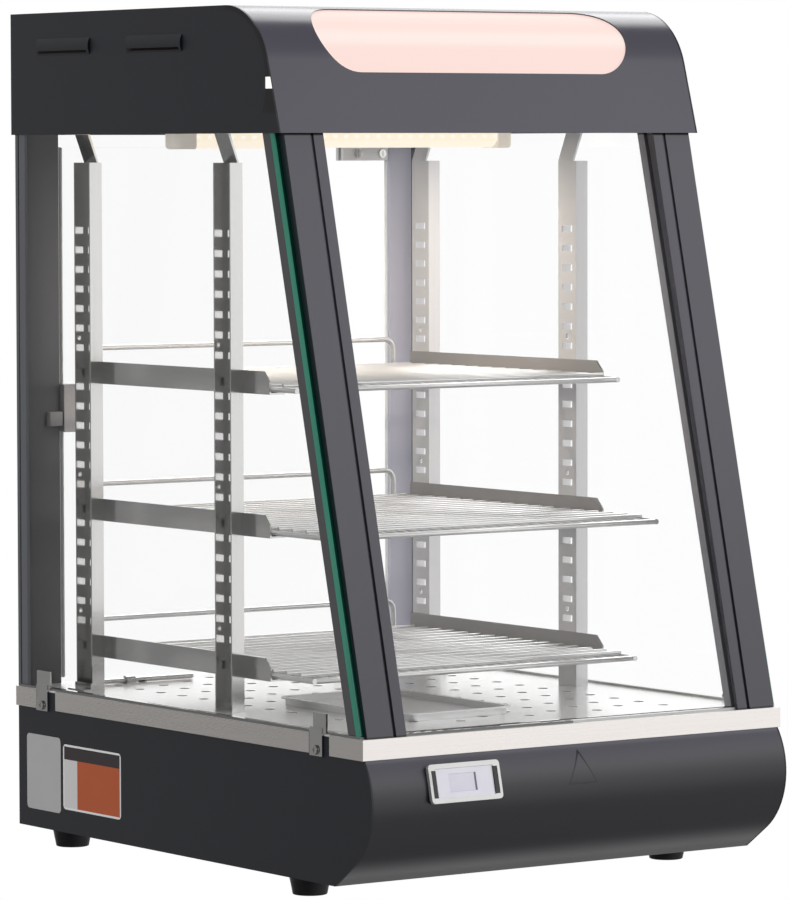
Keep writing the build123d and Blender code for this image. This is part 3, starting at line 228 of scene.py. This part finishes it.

# rear posts: the left one's outer side and the right one's front are painted paler, as painted light
rearLook = {"dark": (0.078, 0.079, 0.087), "light": (0.088, 0.089, 0.098), "rough": 0.4,
            "side": (0.115, 0.116, 0.128), "outer": 186.9,
            "right": (0.50, 0.49, 0.57), "front": 0.6, "inner": 161.4}
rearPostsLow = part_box("rear_posts")[0]
rearPostPaintAndPaintedLight = coat("rearPostPaintAndPaintedLight", rearLook, [
    (lambda x, y, z: x.below(-rearLook["outer"] * mm), rearLook["side"]),
    (lambda x, y, z: x.above(0) * (y.below(rearPostsLow.y + rearLook["front"] * mm)
                                   + x.below(rearLook["inner"] * mm)), rearLook["right"])])

# front posts: black paint given a paler tone as painted light, darker towards the bottom as painted
# shade, black ends as painted shadow at their gaps, a dark outer side on the left bar as painted shade,
# a paler bar behind the right glass as painted light
postLook = {"dark": (0.072, 0.069, 0.087), "light": (0.082, 0.079, 0.099), "rough": 0.34, "ior": 1.55,
            "low": (0.054, 0.052, 0.066), "paintedLightFadeHigh": 420, "paintedLightFadeLow": 120,
            "side": (0.006, 0.012, 0.013), "outer": 183.4,
            "back": (0.30, 0.295, 0.32), "planeY": -130, "planeZ": 533.5, "slope": 0.2508,
            "topShadowEdge": 543.9, "lowShadowEdge": 121.2}


def paintedLightBehindGlass(x, y, z):
    lean = (z - postLook["planeZ"] * mm) * postLook["slope"]
    return (y - postLook["planeY"] * mm - lean).above(0) * x.above(0)


postPaintAndPaintedLight = coat("postPaintAndPaintedLight", postLook, [
    (lambda x, y, z: z.smooth(postLook["paintedLightFadeHigh"] * mm, postLook["paintedLightFadeLow"] * mm), postLook["low"]),
    (lambda x, y, z: x.below(-postLook["outer"] * mm), postLook["side"]),
    (paintedLightBehindGlass, postLook["back"]),
    (lambda x, y, z: z.above(postLook["topShadowEdge"] * mm) + z.below(postLook["lowShadowEdge"] * mm), lineAndShadowBlack)])

# the glass gasket is painted paler on the right, as painted light
gasketGreyAndPaintedLight = coat("gasketGreyAndPaintedLight", {"dark": (0.18, 0.18, 0.18), "light": (0.22, 0.22, 0.22), "rough": 0.5,
                                 "ior": 1.45, "grain": 1500.0, "bump": 0.05},
                  [(lambda x, y, z: x.above(0), (0.62, 0.62, 0.61))])

# bare metal, its grain drawn out along one axis where it is brushed
steelBase = {"stretch": (1, 1, 1), "detail": 4.0, "crisp": 0.6, "metal": 1.0, "brush": 0.02,
             "cloud": 7.0, "mottle": 0.04, "bump": 0, "depth": 0.05}


def steel(name, look):
    look = {**steelBase, **look}
    shade = Shade(name)
    lines = shade.noise(look["scale"], look["stretch"], look["detail"], look["crisp"])
    cloud = shade.noise(look["cloud"])
    shade.fill(Base_Color=shade.blend(lines, look["dark"], look["light"]), Metallic=look["metal"],
               Roughness=look["rough"] + (lines - 0.5) * look["brush"] + (cloud - 0.5) * look["mottle"])
    if look["bump"]:
        shade.bump(lines, look["bump"], look["depth"] * mm)
    return shade.material


alongX = (0.02, 1, 1)
alongY = (1, 0.02, 1)
alongZ = (1, 1, 0.02)
bandSteel = steel("bandSteel", {"dark": (0.88, 0.83, 0.80), "light": (0.97, 0.93, 0.90), "rough": 0.28,
                                "scale": 900.0, "stretch": (0.02, 0.02, 1), "bump": 0.08, "brush": 0.08})
uprightSteel = steel("uprightSteel", {"dark": (0.67, 0.665, 0.66), "light": (0.76, 0.75, 0.74),
                                      "rough": 0.14, "scale": 300.0, "stretch": alongZ})
# painted light: the right uprights get a paler copy of the upright steel
uprightSteelPaintedLight = steel("uprightSteelPaintedLight", {"dark": (0.74, 0.73, 0.74), "light": (0.82, 0.81, 0.82), "metal": 0.4,
                              "rough": 0.24, "scale": 300.0, "stretch": alongZ})
bracketSteel = steel("bracketSteel", {"dark": (0.66, 0.65, 0.64), "light": (0.78, 0.77, 0.76),
                                      "rough": 0.16, "scale": 200.0, "stretch": alongY})
# painted shade: the right brackets get a darker copy of the bracket steel; the door handle uses it too
bracketSteelPaintedShade = steel("bracketSteelPaintedShade", {"dark": (0.40, 0.385, 0.385), "light": (0.46, 0.445, 0.44),
                                            "metal": 0.4, "rough": 0.24, "scale": 300.0,
                                            "stretch": alongY})
# painted light: the steel door clamps get a near-white matte tone for the case lamp's light on them
clampSteelPaintedLight = steel("clampSteelPaintedLight", {"dark": (0.88, 0.87, 0.88), "light": (0.95, 0.94, 0.95), "metal": 0.05,
                                  "rough": 0.3, "scale": 60.0})
traySteel = steel("traySteel", {"dark": (0.70, 0.70, 0.70), "light": (0.78, 0.78, 0.78), "metal": 0.5,
                                "rough": 0.24, "scale": 60.0})
floorSteel = steel("floorSteel", {"dark": (0.82, 0.82, 0.82), "light": (0.89, 0.89, 0.89), "metal": 0.35,
                                  "rough": 0.20, "scale": 120.0, "stretch": alongX})
brightSteel = steel("brightSteel", {"dark": (0.68, 0.67, 0.65), "light": (0.80, 0.79, 0.77),
                                    "rough": 0.14, "scale": 60.0})
wireSteel = steel("wireSteel", {"dark": (0.78, 0.78, 0.78), "light": (0.88, 0.88, 0.87), "metal": 0.6,
                                "rough": 0.18, "scale": 60.0})
aluminium = steel("aluminium", {"dark": (0.70, 0.70, 0.70), "light": (0.80, 0.80, 0.80), "rough": 0.3,
                                "scale": 500.0, "stretch": alongX, "bump": 0.05})

# moulded plastic and rubber
plasticBase = {"grain": 1500.0, "detail": 2.0, "dim": 0.94, "mottle": 0.04, "bump": 0.05, "depth": 0.05}


def plastic(name, look):
    look = {**plasticBase, **look}
    shade = Shade(name)
    grain = shade.noise(look["grain"], detail=look["detail"])
    dimmed = tuple(part * look["dim"] for part in look["color"])
    shade.fill(Base_Color=shade.blend(grain, dimmed, look["color"]),
               Roughness=look["rough"] + (grain - 0.5) * look["mottle"])
    shade.bump(grain, look["bump"], look["depth"] * mm)
    return shade.material


rubber = plastic("rubber", {"color": (0.006, 0.006, 0.007), "rough": 0.55, "bump": 0.2})
greyPlastic = plastic("greyPlastic", {"color": (0.30, 0.30, 0.31), "rough": 0.35})
blackPlastic = plastic("blackPlastic", {"color": (0.012, 0.012, 0.013), "rough": 0.25})


# clear sheet glass with a second finish where the mask says so: print on the side panes, painted shade
# on the front pane's margin
def clearGlass(name, look, mask=None, ink=None):
    shade = Shade(name)
    haze = shade.noise(look["haze"])
    shade.fill(Base_Color=shade.blend(haze, look["tint"], look["clear"]), Roughness=0.0,
               IOR=look["ior"], Transmission_Weight=1.0, Specular_Tint=look["gloss"])
    if mask:
        axes = shade.axes()
        printed = shade.make("BsdfPrincipled", {"Base Color": ink(shade, *axes),
                                                "Roughness": look["marginRough"]})
        mixed = shade.make("MixShader", {0: mask(*axes), 1: shade.surface.outputs[0],
                                         2: printed.outputs[0]})
        shade.put(shade.tree.nodes["Material Output"].inputs["Surface"], mixed.outputs[0])
    return shade.material


glassLook = {"tint": (0.998, 1.0, 0.999), "clear": (1.0, 1.0, 1.0), "haze": 3.0, "ior": 1.34,
             "gloss": (0.1, 0.1, 0.1), "slope": 0.2508, "thick": 6, "band": 9.3, "rearStart": 100,
             "frontInk": (0.095, 0.094, 0.10), "rearInk": (0.135, 0.137, 0.152), "marginRough": 0.12,
             "marginStart": 183.4, "marginPaintedShade": (0.001, 0.044, 0.032)}
sideLow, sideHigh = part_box("side_glass_left")


# the side panes are printed along their slanted front edge and their rear edge
def sidePrint(x, y, z):
    behindEdge = y - sideLow.y - (z - sideLow.z) * glassLook["slope"]
    return behindEdge.below(glassLook["band"] * mm) + y.above(sideHigh.y - glassLook["band"] * mm)


sheetGlass = clearGlass("sheetGlass", glassLook)
sideGlass = clearGlass("sideGlass", glassLook, sidePrint,
                       lambda shade, x, y, z: shade.blend(y.above(glassLook["rearStart"] * mm),
                                                          glassLook["frontInk"], glassLook["rearInk"]))
# the front pane's left margin is painted dark green as painted shade
frontGlass = clearGlass("frontGlass", glassLook,
                        lambda x, y, z: x.below(-glassLook["marginStart"] * mm),
                        lambda shade, x, y, z: glassLook["marginPaintedShade"])

# ground edges of the glass: bright green, and pale round the door's pane
groundBase = {"scale": 40.0, "detail": 2.0, "rough": 0.12}


def glassEdge(name, look):
    look = {**groundBase, **look}
    shade = Shade(name)
    streak = shade.noise(look["scale"], alongZ, look["detail"])
    shade.fill(Base_Color=shade.blend(streak, look["dark"], look["light"]), Roughness=look["rough"])
    return shade.material


edgeBright = glassEdge("edgeBright", {"dark": (0.03, 0.25, 0.16), "light": (0.09, 0.38, 0.27)})
edgePale = glassEdge("edgePale", {"dark": (0.90, 0.92, 0.92), "light": (0.95, 0.96, 0.96)})

# warm lit sheet, with a second tone where its spots are
litBase = {"rough": 0.5, "shine": 0.05}


def litSheet(name, look, spots=None):
    look = {**litBase, **look}
    shade = Shade(name)
    tone = shade.blend(shade.noise(look["scale"]), look["warm"], look["pale"])
    if spots:
        tone = shade.blend(spots(*shade.axes()), tone, look["hot"])
    shade.fill(Base_Color=look["body"], Roughness=look["rough"], Specular_IOR_Level=look["shine"],
               Emission_Color=tone, Emission_Strength=look["strength"])
    return shade.material


# the window has a slightly brighter band along it
windowLook = {"warm": srgb(252, 223, 215), "pale": srgb(255, 227, 219), "hot": srgb(255, 238, 231),
              "scale": 6.0, "strength": 0.86, "body": (0.16, 0.14, 0.13),
              "rise": (606, 614), "fall": (624, 616)}
windowOpal = litSheet("windowOpal", windowLook, lambda x, y, z: (
    z.smooth(*(level * mm for level in windowLook["rise"]))
    * z.smooth(*(level * mm for level in windowLook["fall"]))))

# the lamp shows a row of diodes through its lens and along its sides
diodeLook = {"start": -200, "step": 5, "lensEdge": (3.4, 4.4), "sideEdge": (2.6, 3.6),
             "lensY": 59.5, "lensHalf": 2.2, "sideZ": 543, "sideHalf": 1.3}


def diodes(x, edge):
    along = (x - diodeLook["start"] * mm).wrap(diodeLook["step"] * mm)
    return along.smooth(edge[0] * mm, edge[1] * mm)


lampOpal = litSheet("lampOpal", {
    "warm": srgb(254, 240, 218), "pale": srgb(255, 246, 230), "hot": srgb(244, 214, 168),
    "scale": 40.0, "strength": 0.95, "body": (0.2, 0.18, 0.15)},
    lambda x, y, z: diodes(x, diodeLook["lensEdge"])
    * (y - diodeLook["lensY"] * mm).size().below(diodeLook["lensHalf"] * mm))
lampSides = litSheet("lampSides", {
    "warm": srgb(246, 230, 204), "pale": srgb(252, 240, 218), "hot": srgb(255, 250, 236),
    "scale": 60.0, "strength": 0.95, "body": (0.3, 0.28, 0.25)},
    lambda x, y, z: diodes(x, diodeLook["sideEdge"])
    * (z - diodeLook["sideZ"] * mm).size().below(diodeLook["sideHalf"] * mm))
lampPlastic = litSheet("lampPlastic", {
    "warm": srgb(150, 144, 136), "pale": srgb(176, 170, 160), "hot": srgb(206, 196, 182),
    "scale": 60.0, "strength": 0.7, "body": (0.5, 0.48, 0.45)}, lambda x, y, z: x.above(0))
leakGlow = litSheet("leakGlow", {"warm": srgb(255, 250, 244), "pale": srgb(255, 254, 250),
                                 "scale": 60.0, "strength": 1.0, "body": (0.2, 0.2, 0.2)})

# thermometer: pale panel, a screen with a grey line at its right, dark slots in the frame's sides
meterLook = {"x": -107, "z": 85.9, "slotInner": 24.9, "slotOuter": 28.8, "slotHalf": 9.6,
             "screenLine": -98.6}


def meterSlots(x, y, z):
    aside = (x - meterLook["x"] * mm).size()
    return (aside.above(meterLook["slotInner"] * mm) * aside.below(meterLook["slotOuter"] * mm)
            * (z - meterLook["z"] * mm).size().below(meterLook["slotHalf"] * mm))


meterPanel = coat("meterPanel", {"dark": srgb(232, 229, 242), "light": srgb(246, 244, 252),
                                 "rough": 0.3, "cloud": 60.0, "mottle": 0.04})
meterScreen = coat("meterScreen", {"dark": srgb(218, 214, 232), "light": srgb(240, 237, 248),
                                   "rough": 0.15, "cloud": 60.0, "mottle": 0.04},
                   [(lambda x, y, z: x.above(meterLook["screenLine"] * mm), srgb(112, 108, 124))])
meterFrame = coat("meterFrame", {"dark": (0.80, 0.80, 0.79), "light": (0.90, 0.90, 0.89),
                                 "rough": 0.25, "cloud": 60.0, "mottle": 0.04},
                  [(meterSlots, (0.012, 0.012, 0.014))])

# stickers on the left side of the base, bare of any words
plateSticker = coat("plateSticker", {"dark": (0.50, 0.50, 0.505), "light": (0.56, 0.56, 0.565),
                                     "rough": 0.35, "cloud": 40.0, "mottle": 0.04})
orangeLook = {"dark": (0.52, 0.10, 0.028), "light": (0.58, 0.12, 0.036), "rough": 0.4, "cloud": 40.0,
              "mottle": 0.04, "fieldEdge": 146, "headEdge": 69, "middle": (125, 55.5),
              "half": (39.9, 23.4)}


def orangeRim(x, y, z):
    return ((y - orangeLook["middle"][0] * mm).size().above(orangeLook["half"][0] * mm)
            + (z - orangeLook["middle"][1] * mm).size().above(orangeLook["half"][1] * mm))


orangeSticker = coat("orangeSticker", orangeLook, [
    (lambda x, y, z: y.above(orangeLook["fieldEdge"] * mm), (0.78, 0.76, 0.76)),
    (lambda x, y, z: z.above(orangeLook["headEdge"] * mm), (0.030, 0.022, 0.024)),
    (orangeRim, (0.95, 0.95, 0.95))])
print("stage: materials made")

# finish, edge rounding in mm and the CAD nodes that have them
looks = (
    (blackPaint, 0, ("base_side_left", "base_side_right", "base_bottom_plate", "base_rear_panel",
                     "cover_rear_panel", "diffuser_brackets")),
    (basePaint, 0.3, ("base_front_panel",)),
    (frontBlackPaintedLight, 0.3, ("cover_shell",)),
    (coverPaint, 0, ("cover_side_left", "cover_side_right")),
    (postPaintAndPaintedLight, 0.3, ("front_posts",)),
    (rearPostPaintAndPaintedLight, 0.3, ("rear_posts",)),
    (bandSteel, 0.2, ("steel_band",)),
    (floorSteel, 0, ("floor_plate", "roof_plate")),
    (gasketGreyAndPaintedLight, 0, ("glass_gasket",)),
    (uprightSteel, 0, ("uprights_left", "probe_clip", "heater_brackets")),
    (uprightSteelPaintedLight, 0, ("uprights_right",)),
    (bracketSteel, 0.2, ("shelf_brackets_left",)),
    (bracketSteelPaintedShade, 0.2, ("shelf_brackets_right",)),
    (bracketSteelPaintedShade, 0.3, ("door_handle",)),
    (clampSteelPaintedLight, 0.3, ("door_clamps",)),
    (brightSteel, 0, ("foot_screws", "temperature_probe", "heating_element", "pivot_pins")),
    (brightSteel, 0.2, ("glass_clips", "clip_screws", "clamp_bolts")),
    (wireSteel, 0, ("grid_top", "grid_middle", "grid_lower", "stop_top", "stop_middle",
                    "stop_lower")),
    (traySteel, 0.15, ("water_tray",)),
    (aluminium, 0, ("window_leds",)),
    (windowOpal, 0, ("diffuser",)),
    (lampSides, 0, ("lamp_housing",)),
    (lampOpal, 0, ("lamp_lens",)),
    (lampPlastic, 0, ("lamp_caps",)),
    (meterFrame, 0.5, ("thermometer_bezel",)),
    (meterPanel, 0, ("thermometer_body",)),
    (meterScreen, 0, ("thermometer_screen",)),
    (rubber, 0.6, ("feet",)),
    (greyPlastic, 0, ("led_driver",)),
    (greyPlastic, 0.2, ("magnet_catch",)),
    (blackPlastic, 0, ("thermostat_body",)),
    (blackPlastic, 0.2, ("switch_housings", "cable_gland", "pivot_sockets", "power_switch",
                         "light_switch")),
    (blackPlastic, 0.3, ("thermostat_knob",)),
)
dressLook = {"segments": 2, "angle": 40, "weld": 0.01}
rounded = ("cover_shell", "base_front_panel")


# adds a finish, edge rounding and on bent sheets smooth shading to a CAD node
def dress(name, material, edge):
    part = nodes[name]
    part.data.materials.clear()
    part.data.materials.append(material)
    if name in rounded:
        normals = part.data.attributes.get("custom_normal")
        if normals:
            part.data.attributes.remove(normals)
        part.data.shade_smooth()
    weld = part.modifiers.new("weld", "WELD")
    weld.merge_threshold = dressLook["weld"] * mm
    if edge:
        bevel = part.modifiers.new("bevel", "BEVEL")
        bevel.width = edge * mm
        bevel.segments = dressLook["segments"]
        bevel.limit_method = "ANGLE"
        bevel.angle_limit = math.radians(dressLook["angle"])
        bevel.harden_normals = True


for material, edge, names in looks:
    for name in names:
        dress(name, material, edge)
print("stage: CAD pieces dressed")


# turns a bmesh into a piece on a body
def piece(name, mesh, materials, body, replaced=(), angle=35):
    data = bpy.data.meshes.new(name)
    bmesh.ops.recalc_face_normals(mesh, faces=mesh.faces)
    mesh.to_mesh(data)
    mesh.free()
    for material in materials:
        data.materials.append(material)
    thing = bpy.data.objects.new(name, data)
    bpy.context.scene.collection.objects.link(thing)
    data.shade_smooth()
    data.set_sharp_from_angle(angle=math.radians(angle))
    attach(thing, body)
    if replaced:
        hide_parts(*replaced)
    return thing


# a prism from an outline in one plane, thickened along the given vector
def prism(outline, thickness):
    mesh = bmesh.new()
    corners = [mesh.verts.new(point) for point in outline]
    face = mesh.faces.new(corners)
    result = bmesh.ops.extrude_face_region(mesh, geom=[face])
    moved = [item for item in result["geom"] if isinstance(item, bmesh.types.BMVert)]
    bmesh.ops.translate(mesh, verts=moved, vec=thickness)
    return mesh


# a prism across the case, from an outline in y and z
def sidePrism(x, thick, outline):
    return prism([(x * mm, y * mm, z * mm) for y, z in outline], (thick * mm, 0, 0))


paneLook = {"chamfer": 0.8, "flat": 0.9, "level": 0.4, "smooth": 20}


# a glass pane: clear faces, ground edges with a small chamfer, clear along the top and bottom
def pane(name, outline, thickness, body, node, glass, rimLook):
    mesh = prism(outline, thickness)
    direction = Vector(thickness).normalized()
    bmesh.ops.recalc_face_normals(mesh, faces=mesh.faces)
    rim = [edge for edge in mesh.edges if len(edge.link_faces) == 2
           and sum(abs(f.normal.dot(direction)) > paneLook["flat"] for f in edge.link_faces) == 1]
    bmesh.ops.bevel(mesh, geom=rim, offset=paneLook["chamfer"] * mm, segments=2, profile=0.5,
                    affect="EDGES", material=-1)
    for face in mesh.faces:
        clear = (abs(face.normal.dot(direction)) > paneLook["flat"]
                 or abs(face.normal.z) > paneLook["level"])
        face.material_index = 0 if clear else 1
    built = piece(name, mesh, [glass, rimLook], body, (node,), paneLook["smooth"])
    built.visible_shadow = False


low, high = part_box("front_glass")
glassRun = glassLook["thick"] * mm * math.sqrt(1 + glassLook["slope"] ** 2)
frontTop = high.y - glassRun
pane("frontGlassPane", [(low.x, low.y, low.z), (low.x, frontTop, high.z), (high.x, frontTop, high.z),
                        (high.x, low.y, low.z)],
     (0, glassRun, 0), "case", "front_glass", frontGlass, edgeBright)
for side, name, node in ((-1, "sideGlassPaneLeft", "side_glass_left"),
                         (1, "sideGlassPaneRight", "side_glass_right")):
    low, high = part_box(node)
    outer = low.x if side < 0 else high.x
    upper = low.y + (high.z - low.z) * glassLook["slope"]
    pane(name, [(outer, low.y, low.z), (outer, high.y, low.z), (outer, high.y, high.z),
                (outer, upper, high.z)],
         ((high.x - low.x) * -side, 0, 0), "case", node, sideGlass, edgeBright)
low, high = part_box("door_glass")
pane("doorGlassPane", [(low.x, low.y, low.z), (low.x, low.y, high.z), (high.x, low.y, high.z),
                       (high.x, low.y, low.z)],
     (0, high.y - low.y, 0), "door", "door_glass", sheetGlass, edgePale)
print("stage: glass built")

# thin stickers on the left side of the base: y from and to, z from and to
stickerLook = {"plate": (170.1, 219.8, 26.5, 84.5), "orange": (83.5, 166.5, 30.5, 80.5),
               "outer": -187.12, "thick": 0.12, "corner": 3.5, "segments": 5}


def stick(name, span, material):
    y0, y1, z0, z1 = span
    mesh = sidePrism(stickerLook["outer"], stickerLook["thick"],
                     ((y0, z0), (y1, z0), (y1, z1), (y0, z1)))
    corners = [edge for edge in mesh.edges
               if abs(edge.verts[0].co.x - edge.verts[1].co.x) > stickerLook["thick"] / 2 * mm]
    bmesh.ops.bevel(mesh, geom=corners, offset=stickerLook["corner"] * mm,
                    segments=stickerLook["segments"], profile=0.5, affect="EDGES", material=-1)
    piece(name, mesh, [material], "case")


stick("plateLabel", stickerLook["plate"], plateSticker)
stick("orangeLabel", stickerLook["orange"], orangeSticker)

# notches in the cover's side plates: the left one is lit from behind, the right one is closed
leakLook = {"x": -187.4, "thick": 0.2,
            "outline": ((-126.3, 577), (-113, 577), (-113, 586.2), (-123.6, 586.2))}
fillLook = {"x": 188.32, "thick": 1.16,
            "outline": ((-127.86, 577.3), (-118.2, 577.3), (-118.2, 585.7), (-125.34, 585.7))}
piece("notchGlow", sidePrism(**leakLook), [leakGlow], "case")
piece("notchFill", sidePrism(**fillLook), [blackPaint], "case")
print("stage: stickers placed")

# camera fitted to the photograph
cameraLook = {"place": (-2274.6, -3255.2, 532.8), "yaw": 35.02, "pitch": -3.26, "roll": -0.14,
              "lens": 210.25, "sensor": 36, "reach": 60}
camera = bpy.data.objects.new("camera", bpy.data.cameras.new("camera"))
bpy.context.scene.collection.objects.link(camera)
camera.data.lens = cameraLook["lens"]
camera.data.sensor_width = cameraLook["sensor"]
camera.data.clip_end = cameraLook["reach"]
yaw, pitch, roll = (math.radians(cameraLook[key]) for key in ("yaw", "pitch", "roll"))
forward = Vector((math.sin(yaw) * math.cos(pitch), math.cos(yaw) * math.cos(pitch), math.sin(pitch)))
rightLevel = Vector((math.cos(yaw), -math.sin(yaw), 0))
upLevel = rightLevel.cross(forward)
right = rightLevel * math.cos(roll) + upLevel * math.sin(roll)
up = upLevel * math.cos(roll) - rightLevel * math.sin(roll)
camera.matrix_world = Matrix((
    (right.x, up.x, -forward.x, cameraLook["place"][0] * mm),
    (right.y, up.y, -forward.y, cameraLook["place"][1] * mm),
    (right.z, up.z, -forward.z, cameraLook["place"][2] * mm),
    (0, 0, 0, 1)))
bpy.context.scene.camera = camera

# white surroundings where the camera looks straight or through glass; what metal and paint mirror
# is dark at the viewer's side, grey behind the left side, bright at the front right and behind the
# right side, with one soft box above; heading is the photo's line of sight in x and y
worldLook = {"heading": (0.574, 0.819), "softbox": (0.52, 0.50, 0.69), "softboxLevel": 3.5,
             "softboxSpan": (0.93, 0.975), "grey": 0.26, "bright": 1.0, "sideSpan": (-0.2, 0.9),
             "behind": 1.4, "behindSpan": (-0.5, -0.85), "dark": 0.18, "darkSpan": (0.55, 0.97),
             "frontLow": 1.05, "frontHigh": 1.5, "frontSpan": (0.3, 0.8), "frontRise": (-0.05, 0.35),
             "above": 0.2, "aboveSpan": (0.36, 0.66), "below": 0.4, "belowSpan": (-0.4, -0.02)}
world = bpy.data.worlds.new("world")
bpy.context.scene.world = world
world.use_nodes = True
sky = Shade(tree=world.node_tree)
background = world.node_tree.nodes["Background"]
toX, toY, height = sky.split(sky.make("TexCoord").outputs["Generated"])
headX, headY = worldLook["heading"]
toRight = toX * headX - toY * headY
toViewer = toX * -headX - toY * headY
side = toRight.smooth(*worldLook["sideSpan"], worldLook["grey"], worldLook["bright"])
frontLevel = height.smooth(*worldLook["frontRise"], worldLook["frontLow"], worldLook["frontHigh"])
side = side * (1.0 + toRight.smooth(*worldLook["frontSpan"]) * (frontLevel - 1.0))
behind = toViewer.smooth(*worldLook["behindSpan"])
around = side * (1.0 - behind) + behind * worldLook["behind"]
level = (around * toViewer.smooth(*worldLook["darkSpan"], 1.0, worldLook["dark"])
         * height.smooth(*worldLook["aboveSpan"], 1.0, worldLook["above"])
         * height.smooth(*worldLook["belowSpan"], worldLook["below"], 1.0))
boxX, boxY, boxZ = worldLook["softbox"]
toBox = toX * boxX + toY * boxY + height * boxZ
level = level + toBox.smooth(*worldLook["softboxSpan"]) * worldLook["softboxLevel"]
path = sky.make("LightPath")
bounces = Wave(sky, path.outputs["Glossy Depth"]) + Wave(sky, path.outputs["Diffuse Depth"])
straight = bounces.below(0.5)
sky.put(background.inputs["Strength"], straight + (1.0 - straight) * level)
sky.put(background.inputs["Color"], (1, 1, 1))

# soft rectangular lights, in metres and watts: three in the studio, one under the case's lamp
lightLooks = {
    "keyLight": {"place": (0.8, -2.8, 1.0), "aim": (0, 0, 0.35), "size": (1.4, 1.4), "power": 28},
    "topLight": {"place": (0.0, 0.2, 2.6), "aim": (0, 0, 0.3), "size": (1.6, 1.6), "power": 12},
    "leftLight": {"place": (-2.4, 0.7, 0.5), "aim": (0, 0, 0.3), "size": (1.2, 1.2), "power": 22},
    "lampLight": {"place": (0.0, 0.0595, 0.531), "aim": (0, 0.0596, 0), "size": (0.27, 0.015),
                  "power": 0.7, "color": (1.0, 0.86, 0.70)}}
for name, look in lightLooks.items():
    data = bpy.data.lights.new(name, "AREA")
    data.shape = "RECTANGLE"
    data.size, data.size_y = look["size"]
    data.energy = look["power"]
    data.color = look.get("color", (1, 1, 1))
    lamp = bpy.data.objects.new(name, data)
    bpy.context.scene.collection.objects.link(lamp)
    lamp.location = look["place"]
    lamp.rotation_mode = "QUATERNION"
    lamp.rotation_quaternion = (Vector(look["aim"]) - Vector(look["place"])).to_track_quat("-Z", "Y")
    lamp.visible_camera = False
    lamp.visible_transmission = False
    lamp.visible_glossy = False
bpy.context.scene.view_settings.view_transform = "Standard"
print("stage: camera and light set")
